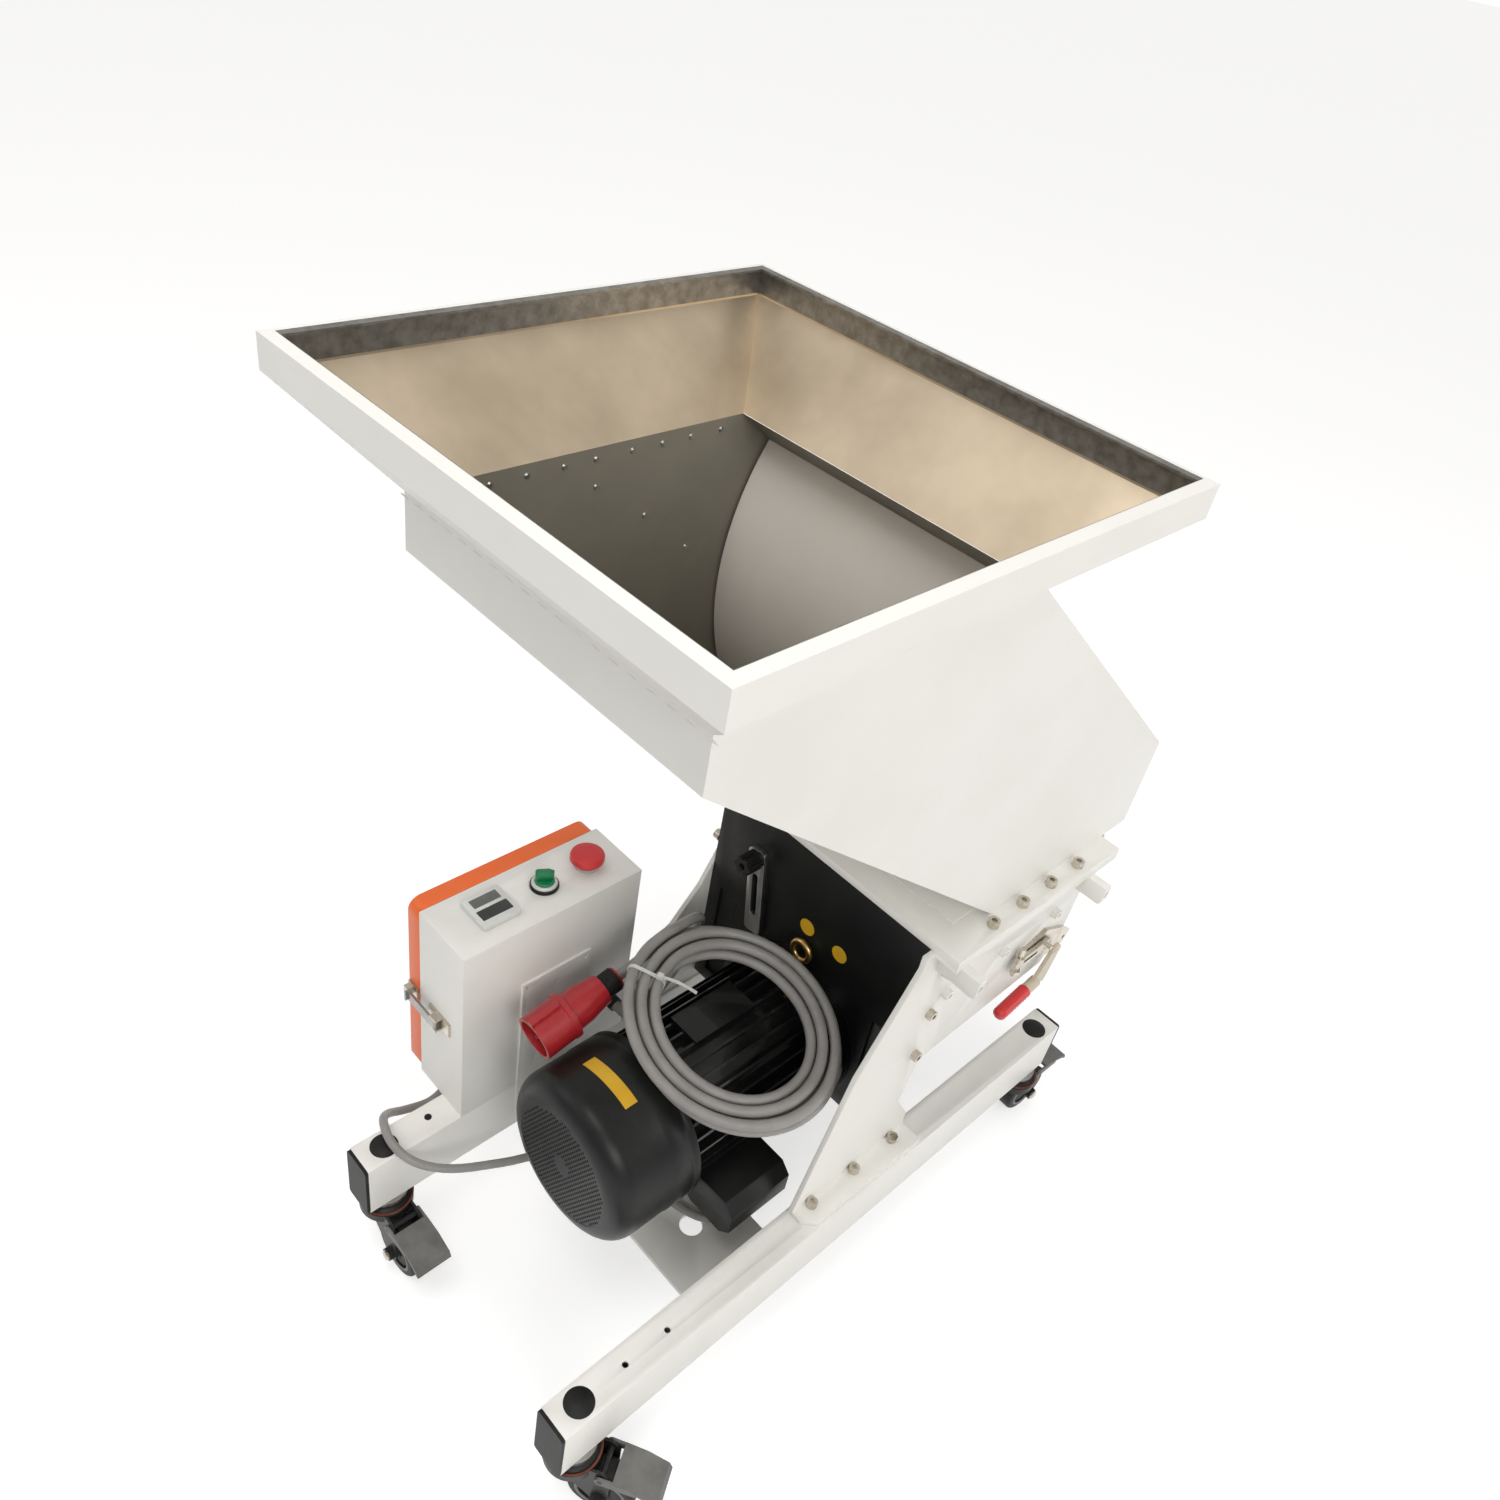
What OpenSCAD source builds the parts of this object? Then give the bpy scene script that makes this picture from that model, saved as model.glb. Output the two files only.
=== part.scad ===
// Plastic granulator on a rail frame, built as separate named pieces.
// All lengths are millimetres, angles are degrees.
// +Y runs along the rails away from the viewer, +X is the clamp side, +Z is up.

/* [Rail frame] */
// Distance between the centre lines of the rails
rail_span = 362; // [300:1:420]
// Width of one rail
rail_w = 40; // [30:1:60]
// Height of one rail
rail_h = 80; // [60:1:100]
// Length of one rail
rail_len = 834; // [760:1:900]
// Wall of the rail tube
rail_wall = 3; // [2:0.5:5]
// Height of the rail tops over the floor
deck_z = 190; // [180:1:210]
// Thickness of the plastic caps on the rail ends
cap_t = 4; // [2:0.5:8]
// Diameter of the round plugs in the rail tops
plug_d = 32; // [28:1:36]
// Bore under each round plug
plug_bore_d = 28; // [24:1:30]
// Diameter of the spare bolt holes in the right rail
spare_hole_d = 7; // [5:0.5:10]
// Distance between the spare bolt holes
spare_pitch = 56; // [40:1:80]
// Distance of the spare hole pair in front of the rail centre
spare_front = 300; // [260:1:320]
// Thickness of the cross plate
cross_t = 6; // [4:0.5:10]
// Depth of the cross plate along the rails
cross_len = 128; // [90:1:150]
// Distance of the cross plate centre in front of the rail centre
cross_front = 139; // [130:1:150]

/* [Casters] */
// Distance of each caster pin from the rail centre
caster_y = 386; // [370:1:390]
// Wheel diameter
wheel_d = 75; // [65:1:78]
// Wheel width
wheel_w = 26; // [20:1:30]
// Offset of the wheel axle from the swivel pin
trail = 39; // [34:1:42]
// Axle diameter
axle_d = 10; // [8:0.5:12]
// Radial running clearance of axles and swivels
run_gap = 0.05; // [0.03:0.01:0.09]
// Diameter of the swivel pin
kingpin_d = 12; // [10:0.5:14]
// Diameter of the swivel dome
dome_d = 62; // [56:1:66]
// Height of the swivel dome
dome_h = 20; // [17:1:22]
// Thickness of the fork legs
leg_t = 3; // [2:0.5:4]
// Width of the brake pedal
pedal_w = 44; // [41:1:50]
// Reach of the brake pedal from the swivel pin
pedal_reach = 104; // [95:1:108]

/* [Side plates] */
// Thickness of the side plates and their flanges
plate_t = 6; // [4:0.5:7]
// Outer face of each side plate from the middle
plate_x = 170; // [169:0.5:171]
// Width of the foot and top flanges
foot_w = 28; // [24:1:30]
// Front end of the foot flange
foot_y0 = -78; // [-84:1:-72]
// Length of the foot flange
foot_len = 196; // [188:1:200]
// Height of the side plates over the deck
plate_h = 362; // [350:1:380]
// Depth of the side plates along the rails
plate_len = 440; // [430:1:450]

/* [Cutting chamber] */
// Front end of the chamber
chamber_y0 = 88; // [86:0.5:92]
// Length of the chamber along the rotor
chamber_len = 244; // [238:1:246]
// Thickness of the chamber side walls
chamber_wall = 13.5; // [12:0.5:14]
// Height of the rotor axis
rotor_z = 445; // [443:0.5:447]
// Tip radius of the rotor
rotor_r = 98; // [94:0.5:99]
// Core radius of the rotor
core_r = 60; // [56:1:62]
// Shaft diameter of the rotor
shaft_d = 40; // [34:1:44]
// Number of staggered cutters
cutter_n = 8; // [6:1:9]
// Width of one cutter
cutter_w = 14; // [12:0.5:15]
// Gap between rotor tips and bed knives
knife_gap = 1.5; // [1:0.1:2.5]
// Height of a bed knife
knife_h = 22; // [18:1:24]
// Gap between rotor tips and screen
screen_gap = 2; // [1.5:0.1:3]
// Thickness of the sieve screen
screen_t = 2; // [1.5:0.1:2.5]
// Hole diameter of the sieve screen
screen_hole = 12; // [8:1:14]
// Thickness of the chamber rear wall
rear_t = 12; // [10:0.5:14]
// Depth of the gear housing
gear_len = 22; // [18:1:22]
// Height of the lower edge of the gear housing
gear_z0 = 205; // [200:1:215]

/* [Motor] */
// Height of the motor axis
motor_z = 272; // [266:1:276]
// Outer radius of the fan cowl
cowl_r = 100; // [97:0.5:101]
// Length of the fan cowl
cowl_len = 110; // [100:1:114]
// Shoulder width round the grille face
shoulder = 28; // [22:1:30]
// Wall of the fan cowl
cowl_wall = 2; // [1.5:0.1:3]
// Rear end of the fan cowl
cowl_y1 = -170; // [-173:0.5:-167]
// Radius over the motor fins
fin_r = 90; // [87:0.5:92]
// Radius of the motor core
motor_r = 78; // [75:0.5:80]
// Thickness of one fin
fin_t = 3; // [2:0.2:4]
// Number of fins round the motor
fin_n = 30; // [24:1:34]
// Radius of the fan
fan_r = 84; // [78:1:88]
// Shaft diameter of the motor
motor_shaft_d = 24; // [20:1:28]
// Thickness of the motor mounting flange
motor_flange_t = 14; // [12:0.5:16]

/* [Hopper] */
// Half width of the hopper rim
rim_x = 242.5; // [236:0.5:246]
// Front end of the rim
rim_y0 = -418.5; // [-424:0.5:-414]
// Length of the rim
rim_len = 486.7; // [480:0.1:492]
// Height of the rim over the floor
rim_z = 1105; // [1095:1:1115]
// Height of the upright rim band
band_h = 28; // [22:1:34]
// Half width of the throat and chute
throat_x = 172.4; // [168:0.1:176]
// Height of the throat
throat_z = 1000.7; // [996:0.1:1006]
// Front wall of the throat
throat_y0 = -348.5; // [-352:0.5:-344]
// Length of the throat
throat_len = 349; // [345:0.5:353]
// Sheet thickness of hopper and chute
sheet = 2; // [1.5:0.1:3]
// Slope of the chute
chute_slope = 39.2; // [38.8:0.1:39.6]
// Thickness of the hopper flange
flange_t = 10; // [8:0.5:12]
// Half width of the hopper flange
flange_x = 198; // [197:0.5:200]
// Front end of the hopper flange
flange_y0 = 44; // [40:1:48]
// Length of the hopper flange
flange_len = 300; // [296:1:304]
// Length of the chute foot over the flange
chute_foot = 274; // [270:1:278]
// Radius of the splash guard
guard_r = 271; // [266:1:276]
// Half width of the splash guard
guard_x = 168; // [160:1:168]

/* [Control box] */
// Outer face of the control box
box_x0 = -246; // [-249:0.5:-243]
// Depth of the control box
box_depth = 85; // [84:0.5:85]
// Front end of the control box
box_y0 = -298; // [-302:1:-295]
// Length of the control box
box_len = 238; // [234:1:242]
// Height of the control box
box_h = 270; // [262:1:280]
// Wall of the control box
box_wall = 2; // [1.5:0.1:3]
// Thickness of the door
door_t = 22; // [18:0.5:24]
// Corner radius of the door
door_r = 15; // [10:0.5:18]
// Gap between door and box
door_gap = 0.5; // [0.3:0.1:1]
// Diameter of the emergency stop head
estop_d = 40; // [36:1:44]
// Travel of the emergency stop head
estop_travel = 4; // [3:0.5:5]
// Diameter of the switch bezels
bezel_d = 30; // [28:0.5:32]
// Side of the display module
display_w = 48; // [44:0.5:50]
// Thickness of the bracket under the box
bracket_t = 3; // [2:0.5:3]

/* [Fasteners] */
// Head diameter of the cap screws
cap_head_d = 13; // [12:0.5:14]
// Head height of the cap screws
cap_head_h = 8; // [6:0.5:9]
// Shank diameter of the cap screws
cap_shank_d = 8; // [6:0.5:9]
// Across flats of the socket in a cap screw
cap_socket = 6; // [5:0.5:7]
// Screw pitch along the hopper flange
flange_pitch = 52.7; // [50:0.1:54]
// Pitch of the knife screws
knife_pitch = 105; // [98:1:108]
// Thread diameter of the lifting lugs
lug_thread = 10; // [8:1:12]
// Width of a lifting lug
lug_w = 12; // [11:0.5:16]
// Height of a lifting lug
lug_h = 25; // [22:1:28]

/* [Toggle clamp] */
// Thickness of the clamp plates
clamp_t = 5; // [4:0.5:5.5]
// Length of the clamp arm
arm_len = 58; // [52:1:62]
// Length of the clamp grip
grip_len = 66; // [58:1:72]
// Diameter of the clamp grip
grip_d = 15; // [12:0.5:18]
// Pivot pin diameter of clamp and latch
pin_d = 6; // [5:0.5:7]

/* [Cords] */
// Diameter of the supply cord
cord_d = 12.5; // [10:0.5:13]
// Diameter of the motor lead
lead_d = 10; // [8:0.5:11]
// Loops of the supply coil
coil_n = 5; // [3:1:6]
// Half width of the outer loop
coil_rx = 126; // [122:0.5:127]
// Half length of the outer loop
coil_ry = 120; // [116:0.5:121]
// Step between the two layers of the coil
coil_step = 13.6; // [13.2:0.1:15]
// Body diameter of the plug
plug_body_d = 54; // [48:1:56]
// Body length of the plug
plug_body_len = 92; // [84:1:96]

/* [Hidden] */
$fn = 48;
white = [0.90, 0.89, 0.85];
black = [0.07, 0.08, 0.08];
nickel = [0.70, 0.67, 0.60];
steel = [0.66, 0.66, 0.64];
orange = [0.86, 0.30, 0.10];
red = [0.75, 0.10, 0.08];
green = [0.12, 0.50, 0.25];
grey = [0.48, 0.49, 0.50];
beige = [0.80, 0.74, 0.60];
gold = [0.80, 0.62, 0.25];
eps = 0.5;
rail_x = rail_span / 2;
rail_z0 = deck_z - rail_h;
rail_in = rail_x - rail_w / 2;
hopper_back = flange_y0 + flange_len;
plate_fit = 0.2;
near_left_turn = 0;
near_right_turn = 31;
far_left_turn = 122;
far_right_turn = 88;
pedal_side = pedal_w / 2 - plate_fit;
front_edge = min(rim_y0, -rail_len / 2 - cap_t);
back_edge = caster_y + pedal_reach * sin(far_right_turn) + pedal_side * cos(far_right_turn);
left_edge = box_x0 - door_gap - door_t;
right_edge = rail_x + pedal_reach * cos(near_right_turn) + pedal_side * sin(near_right_turn);
centre_x = (left_edge + right_edge) / 2;
centre_y = (front_edge + back_edge) / 2;
top_z = deck_z + plate_h;
wheel_r = wheel_d / 2;
plate_in = plate_x - plate_t;
box_z0 = deck_z;
box_x1 = box_x0 + box_depth;
box_z1 = box_z0 + box_h;
chamber_y1 = chamber_y0 + chamber_len;
gear_y0 = chamber_y0 - gear_len;
cell = chamber_len / cutter_n;
knife_z = rotor_z + knife_h / 2;
knife_y0 = chamber_y0 + 1.5 * plate_t;
cowl_y0 = cowl_y1 - cowl_len;
chute_k = tan(chute_slope);
chute_y1 = 121;

// The origin is the middle of the outline on the floor.
module placed() translate([-centre_x, -centre_y, 0]) children();
// Profiles are drawn in their own plane and stand along X or Y.
module along_x(x0, len) translate([x0, 0, 0]) rotate([90, 0, 90]) linear_extrude(len) children();
module along_y(y0, len) translate([0, y0 + len, 0]) rotate([90, 0, 0]) linear_extrude(len) children();

module ring(od, id, h) difference() {
    cylinder(d = od, h = h);
    translate([0, 0, -eps]) cylinder(d = id, h = h + 2 * eps);
}

// Rounded rectangle from exact arcs, with its lower left corner at the origin.
module round_rect(w, h, r) union() {
    translate([r, 0]) square([w - 2 * r, h]);
    translate([0, r]) square([w, h - 2 * r]);
    for (x = [r, w - r], y = [r, h - r]) translate([x, y]) circle(r);
}

// Rail frame.
rail_plug_y = caster_y;
stem_hole_d = kingpin_d + 1 * plate_fit;

module rail(holes) difference() {
    translate([-rail_w / 2, -rail_len / 2, rail_z0]) cube([rail_w, rail_len, rail_h]);
    translate([-rail_w / 2 + rail_wall, -rail_len / 2 - eps, rail_z0 + rail_wall])
        cube([rail_w - 2 * rail_wall, rail_len + 2 * eps, rail_h - 2 * rail_wall]);
    for (y = [-rail_plug_y, rail_plug_y]) {
        translate([0, y, deck_z - 2 * rail_wall]) cylinder(d = plug_bore_d, h = 3 * rail_wall);
        translate([0, y, rail_z0 - eps]) cylinder(d = stem_hole_d, h = rail_wall + 2 * eps);
    }
    if (holes)
        for (k = [-0.5, 0.5]) translate([0, -spare_front + k * spare_pitch, deck_z - rail_wall - eps])
            cylinder(d = spare_hole_d, h = rail_wall + 2 * eps);
}

module left_rail() color(white) placed() translate([-rail_x, 0, 0]) rail(false);
module right_rail() color(white) placed() translate([rail_x, 0, 0]) rail(true);

plug_dome = cap_t;
plug_lip_h = cap_t / 2;
dome_rise_r = (plug_d * plug_d / 4 + plug_dome * plug_dome) / (2 * plug_dome);

module round_plug() {
    intersection() {
        cylinder(d = plug_d, h = plug_dome);
        translate([0, 0, plug_dome - dome_rise_r]) sphere(dome_rise_r);
    }
    translate([0, 0, -2 * rail_wall]) ring(plug_bore_d - 2 * run_gap, plug_bore_d - 2 * rail_wall, 2 * rail_wall);
}

module end_cap() {
    along_y(-cap_t, cap_t) translate([-rail_w / 2, rail_z0]) round_rect(rail_w, rail_h, cap_t);
    along_y(-eps, 3 * cap_t) difference() {
        translate([-rail_w / 2 + rail_wall, rail_z0 + rail_wall])
            square([rail_w - 2 * rail_wall, rail_h - 2 * rail_wall]);
        translate([-rail_w / 2 + 2 * rail_wall, rail_z0 + 2 * rail_wall])
            square([rail_w - 4 * rail_wall, rail_h - 4 * rail_wall]);
    }
}

module rail_plugs() color(black) placed() for (sx = [-1, 1]) translate([sx * rail_x, 0, 0]) {
    for (sy = [-1, 1]) {
        translate([0, sy * rail_plug_y, deck_z]) round_plug();
        mirror([0, (1 - sy) / 2 == 0 ? 1 : 0, 0]) translate([0, -rail_len / 2, 0]) end_cap();
    }
}

module cross_plate() color(white) placed() {
    difference() {
        translate([-rail_in, -cross_front - cross_len / 2, rail_z0]) cube([2 * rail_in, cross_len, cross_t]);
        for (sx = [-1, 1]) translate([sx * rail_in / 2, -cross_front, rail_z0 - eps])
            cylinder(d = plug_bore_d, h = cross_t + 2 * eps);
    }
}

// Side plates.
// Shares run from the front foot corner, along the plate and up its height.
right_outline_shares = [[0, 0], [0.107, 0.583], [0.245, 0.95], [0.245, 1], [1, 1], [1, 0.75], [0.99, 0.54],
    [0.93, 0.44], [0.452, 0.415], [0.393, 0.406], [0.368, 0.218], [0.438, 0.088], [0.4455, 0]];
left_outline_shares = [[0.06, 0], [0.068, 0.16], [0.09, 0.287], [0.2, 0.364], [0.289, 0.497], [0.386, 0.732],
    [0.386, 1], [1, 1], [1, 0.75], [0.99, 0.54], [0.93, 0.44], [0.452, 0.415], [0.393, 0.406],
    [0.368, 0.218], [0.438, 0.088], [0.4455, 0]];
foot_holes_share = [0.128, 0.495, 0.847];
left_foot_holes_share = [0.21, 0.495, 0.847];
top_flange_y0 = flange_y0;
top_flange_len = flange_len;
sight_hole_d = cap_head_d;

module plate_outline(shares) polygon([for (p = shares) [foot_y0 + p[0] * plate_len, deck_z + p[1] * plate_h]]);

module foot_flange(start, holes) difference() {
    linear_extrude(plate_t) polygon([[0, start], [foot_w / 2, start], [foot_w, start + foot_w / 2],
        [foot_w, foot_len], [0, foot_len]]);
    for (k = holes) translate([foot_w / 4, k * foot_len, -eps])
        cylinder(d = cap_shank_d, h = plate_t + 2 * eps);
}

module side_plate(shares, holes) difference() {
    union() {
        along_x(plate_in, plate_t) plate_outline(shares);
        translate([plate_x, foot_y0, deck_z]) foot_flange(shares[0][0] * plate_len, holes);
        translate([plate_x, top_flange_y0, top_z - plate_t]) cube([foot_w, top_flange_len, plate_t]);
    }
    for (y = knife_ys()) translate([plate_in - eps, y, knife_z]) rotate([0, 90, 0])
        cylinder(d = cap_shank_d, h = plate_t + 2 * eps);
    for (y = flange_ys()) translate([flange_screw_x, y, top_z - 2 * plate_t]) cylinder(d = cap_shank_d, h = 3 * plate_t);
    translate([plate_in - eps, chamber_y0 - sight_hole_d, top_z - 3 * sight_hole_d]) rotate([0, 90, 0])
        cylinder(d = sight_hole_d, h = plate_t + 2 * eps);
    for (y = side_bolt_ys) translate([plate_in - eps, y[0], y[1]]) rotate([0, 90, 0])
        cylinder(d = cap_shank_d, h = plate_t + 2 * eps);
}

flange_screw_x = flange_x - cap_head_d;
function knife_ys() = [for (k = [0:2]) knife_y0 + k * knife_pitch];
function flange_ys() = [for (k = [0:3]) flange_y0 + flange_len / 4 + (k - 0.05) * flange_pitch];
gear_bolt_share = [[0.577, 0.823], [0.5, 0.635], [0.527, 0.436]];
side_bolt_ys = [for (s = gear_bolt_share) [gear_y0 + s[0] * gear_len, gear_z0 + s[1] * plate_h]];

module right_side_plate() color(white) placed() side_plate(right_outline_shares, foot_holes_share);
module left_side_plate() color(white) placed() mirror([1, 0, 0]) side_plate(left_outline_shares, left_foot_holes_share);

module cap_screw(shank) {
    difference() {
        cylinder(d = cap_head_d, h = cap_head_h);
        translate([0, 0, cap_head_h / 2]) cylinder(d = cap_socket / cos(30), h = cap_head_h, $fn = 6);
    }
    translate([0, 0, -shank]) cylinder(d = cap_shank_d, h = shank + eps);
}

module cap_screws() color(nickel) placed() for (sx = [-1, 1]) {
    for (y = flange_ys()) translate([sx * flange_screw_x, y, top_z + flange_t])
        cap_screw(flange_t + plate_t);
    for (k = sx > 0 ? foot_holes_share : left_foot_holes_share)
        translate([sx * (plate_x + foot_w / 4), foot_y0 + k * foot_len, deck_z + plate_t]) cap_screw(plate_t);
    for (y = side_bolt_ys) translate([sx * plate_x, y[0], y[1]]) rotate([0, sx * 90, 0]) cap_screw(plate_t);
}

module knife_screws() color(white) placed() for (sx = [-1, 1]) for (y = knife_ys())
    translate([sx * plate_x, y, knife_z]) rotate([0, sx * 90, 0]) cap_screw(plate_t + chamber_wall);

lug_out = plate_x + foot_w + 2 * lug_w;
lug_ends_share = [0.055, 0.835];

// Stub block with rounded lower end and a tapped hole in its end face.
module lug() translate([0, -lug_w / 2, -lug_h / 2]) difference() {
    along_y(0, lug_w) union() {
        square([lug_out - plate_x - lug_w / 2, lug_h]);
        translate([0, lug_w / 2]) square([lug_out - plate_x, lug_h - lug_w / 2]);
        translate([lug_out - plate_x - lug_w / 2, lug_w / 2]) circle(lug_w / 2);
    }
    translate([lug_out - plate_x - 2 * lug_w, lug_w / 2, lug_h / 2]) rotate([0, 90, 0])
        cylinder(r = lug_thread * tap_share, h = 3 * lug_w);
}
tap_share = 0.425;

module lifting_lugs() color(white) placed() for (sx = [0, 1]) mirror([sx, 0, 0])
    for (s = lug_ends_share) translate([plate_x, flange_y0 + s * flange_len, top_z - plate_t - lug_h / 2]) lug();

// Cutting chamber.
wall_x0 = plate_in - plate_fit - chamber_wall;
screen_r = rotor_r + screen_gap;
bed_x = rotor_r + knife_gap;
chamber_z0 = rotor_z - screen_r - screen_t - screen_gap;
shelf_t = chamber_wall;

module cutting_chamber() color(black) placed() {
    for (sx = [0, 1]) mirror([sx, 0, 0]) difference() {
        translate([wall_x0, chamber_y0, chamber_z0]) cube([chamber_wall, chamber_len, top_z - chamber_z0]);
        for (y = knife_ys()) translate([wall_x0 - eps, y, knife_z]) rotate([0, 90, 0])
            cylinder(d = cap_shank_d, h = chamber_wall + 2 * eps);
    }
    // Ledges that carry the screen on both sides
    for (sx = [0, 1]) mirror([sx, 0, 0]) along_y(chamber_y0, chamber_len) difference() {
        translate([screen_r - shelf_t, chamber_z0]) square([wall_x0 - screen_r + shelf_t + eps, rotor_z - chamber_z0 - shelf_t]);
        translate([0, rotor_z]) circle(screen_r + screen_t);
    }
}

module bed_knives() color(steel) placed() for (sx = [0, 1]) mirror([sx, 0, 0]) difference() {
    union() {
        translate([bed_x, chamber_y0, knife_z - knife_h / 2])
            cube([wall_x0 - bed_x, chamber_len, knife_h]);
        // Comb teeth between the cutters
        for (k = [0:cutter_n - 2]) translate([core_r + 2 * knife_gap, chamber_y0 + k * cell + comb_y0, knife_z - knife_h / 2])
            cube([bed_x - core_r, cell - cutter_w - 2 * knife_gap, knife_h]);
    }
    for (y = knife_ys()) translate([wall_x0 - cap_head_d, y, knife_z]) rotate([0, 90, 0])
        cylinder(d = cap_shank_d, h = cap_head_d + eps);
}
// Cutters stand in the middle of each cell, and a tooth of the comb fills the space behind one.
comb_y0 = cell / 2 + cutter_w / 2 + knife_gap;

module cutter_profile() difference() {
    circle(rotor_r);
    for (a = [0:120:240]) rotate(a) {
        translate([rotor_r, rotor_r * gullet_share]) circle(rotor_r * gullet_r_share);
        translate([rotor_r * relief_share, -rotor_r]) rotate(relief_turn) square([rotor_r, rotor_r]);
    }
}
gullet_share = 0.42;
gullet_r_share = 0.42;
relief_share = 0.985;
relief_turn = 4;
stagger = 45;

module cutting_rotor() color(steel) placed() translate([0, chamber_y0, rotor_z]) {
    along_y(knife_gap, chamber_len - 2 * knife_gap) circle(core_r);
    for (k = [0:cutter_n - 1]) rotate([0, k * stagger, 0]) along_y(k * cell + (cell - cutter_w) / 2, cutter_w)
        cutter_profile();
    along_y(-gear_bore, chamber_len + gear_bore + rear_t + bearing_len / 2) circle(d = shaft_d);
}
gear_bore = gear_len / 2;
bearing_len = shaft_d;

screen_side = 68;
screen_rows = 9;
screen_cols = 11;

module sieve_screen() color(steel) placed() difference() {
    along_y(chamber_y0, chamber_len) difference() {
        intersection() {
            translate([0, rotor_z]) circle(screen_r + screen_t);
            translate([-screen_r - screen_t, chamber_z0 - screen_t])
                square([2 * (screen_r + screen_t), rotor_z - shelf_t - chamber_z0]);
        }
        translate([0, rotor_z]) circle(screen_r);
    }
    for (i = [0:screen_cols - 1]) for (j = [0:screen_rows - 1])
        translate([0, chamber_y0 + (i + 0.75 - 0.5 * (j % 2)) * chamber_len / (screen_cols + 0.5), rotor_z])
            rotate([0, 180 + (j - (screen_rows - 1) / 2) * 2 * screen_side / screen_rows, 0])
                translate([0, 0, screen_r - screen_gap]) cylinder(d = screen_hole, h = screen_t + 2 * screen_gap);
}

module gear_housing() color(black) placed() difference() {
    translate([-wall_x0 - chamber_wall, gear_y0, gear_z0])
        cube([2 * (wall_x0 + chamber_wall), gear_len, top_z - gear_z0]);
    // Rotor shaft seat
    translate([0, chamber_y0, rotor_z]) along_y(-gear_bore - eps, gear_bore + 2 * eps) circle(d = shaft_d + 2 * run_gap);
    // Motor shaft and spigot seat
    translate([0, gear_y0, motor_z]) along_y(-eps, gear_bore + eps) circle(d = motor_shaft_d + 2 * run_gap);
    // Cast relief panels either side of the drive
    for (sx = [0, 1]) mirror([sx, 0, 0]) translate([motor_r + 2 * relief_edge, gear_y0 - eps, gear_z0 + relief_edge])
        cube([wall_x0 + chamber_wall - motor_r - 3 * relief_edge, relief_depth, rotor_z - gear_z0 - 5 * relief_edge]);
    for (sx = [-1, 1]) for (s = side_bolt_ys) translate([sx > 0 ? wall_x0 : -wall_x0 - chamber_wall - eps, s[0], s[1]])
        rotate([0, 90, 0]) cylinder(d = cap_shank_d, h = chamber_wall + eps);
}
relief_edge = 18;
relief_depth = 6;

module bearing_housing() color(black) placed() difference() {
    union() {
        along_y(chamber_y1, rear_t) translate([-wall_x0 - chamber_wall, chamber_z0])
            square([2 * (wall_x0 + chamber_wall), top_z - chamber_z0]);
        translate([0, chamber_y1, rotor_z]) along_y(rear_t - eps, bearing_len) circle(d = bearing_od);
        // Ribs that brace the bearing seat
        for (a = [0:60:300]) translate([0, chamber_y1, rotor_z]) rotate([0, a, 0]) along_y(rear_t - eps, bearing_len / 2)
            translate([-rear_t / 2, 0]) square([rear_t, bearing_od * rib_share]);
    }
    translate([0, chamber_y1, rotor_z]) along_y(-eps, rear_t + bearing_len - rear_t) circle(d = shaft_d + 2 * run_gap);
}
bearing_od = 2 * shaft_d;
rib_share = 0.9;

// Motor.
motor_back = gear_y0;
cowl_in = cowl_r - cowl_wall;
grille_r = cowl_r - shoulder;
grille_hole = 6;
grille_rings = 7;
skirt_share = 0.36;
cowl_rim_r = cowl_r;
fan_y0 = cowl_y0 + shoulder;
fan_w = 34;
fan_gap = 6;

module turn_y(y0) translate([0, y0, motor_z]) rotate([-90, 0, 0]) children();

module fan_cowl() color(black) placed() turn_y(cowl_y0) difference() {
    rotate_extrude() difference() {
        cowl_shape(0);
        cowl_shape(cowl_wall);
    }
    for (i = [1:grille_rings]) for (a = [0:360 / (6 * i):359]) rotate(a)
        translate([i * grille_r / (grille_rings + 0.6), 0, -eps]) circle_hole();
}
module circle_hole() cylinder(d = grille_hole, h = cowl_wall + 2 * eps, $fn = 16);

// Half section of the cowl: flat face, rounded shoulder, step to the skirt.
module cowl_shape(t) union() {
    translate([0, t]) square([grille_r, cowl_len]);
    intersection() {
        translate([grille_r, shoulder]) circle(shoulder - t);
        square([cowl_r, shoulder]);
    }
    translate([0, shoulder]) square([cowl_r - t, cowl_len - shoulder + (t > 0 ? eps : 0)]);
}

module motor_fan() color(black) placed() {
    turn_y(fan_y0) {
        translate([0, 0, fan_w - cowl_wall]) cylinder(r = fan_r, h = cowl_wall);
        cylinder(d = 2 * motor_shaft_d, h = fan_w);
        for (a = [0:40:320]) rotate(a) translate([motor_shaft_d - eps, -cowl_wall / 2, 0])
            cube([fan_r - motor_shaft_d, cowl_wall, fan_w]);
    }
    // The motor shaft carries the fan and drives the gear train.
    turn_y(fan_y0 - fan_gap) cylinder(d = motor_shaft_d, h = motor_back - fan_y0 + fan_gap + gear_bore - eps);
}

body_y0 = fan_y0 + fan_w + fan_gap;
foot_pad_h = motor_z - motor_r - rail_z0 - cross_t;

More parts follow.
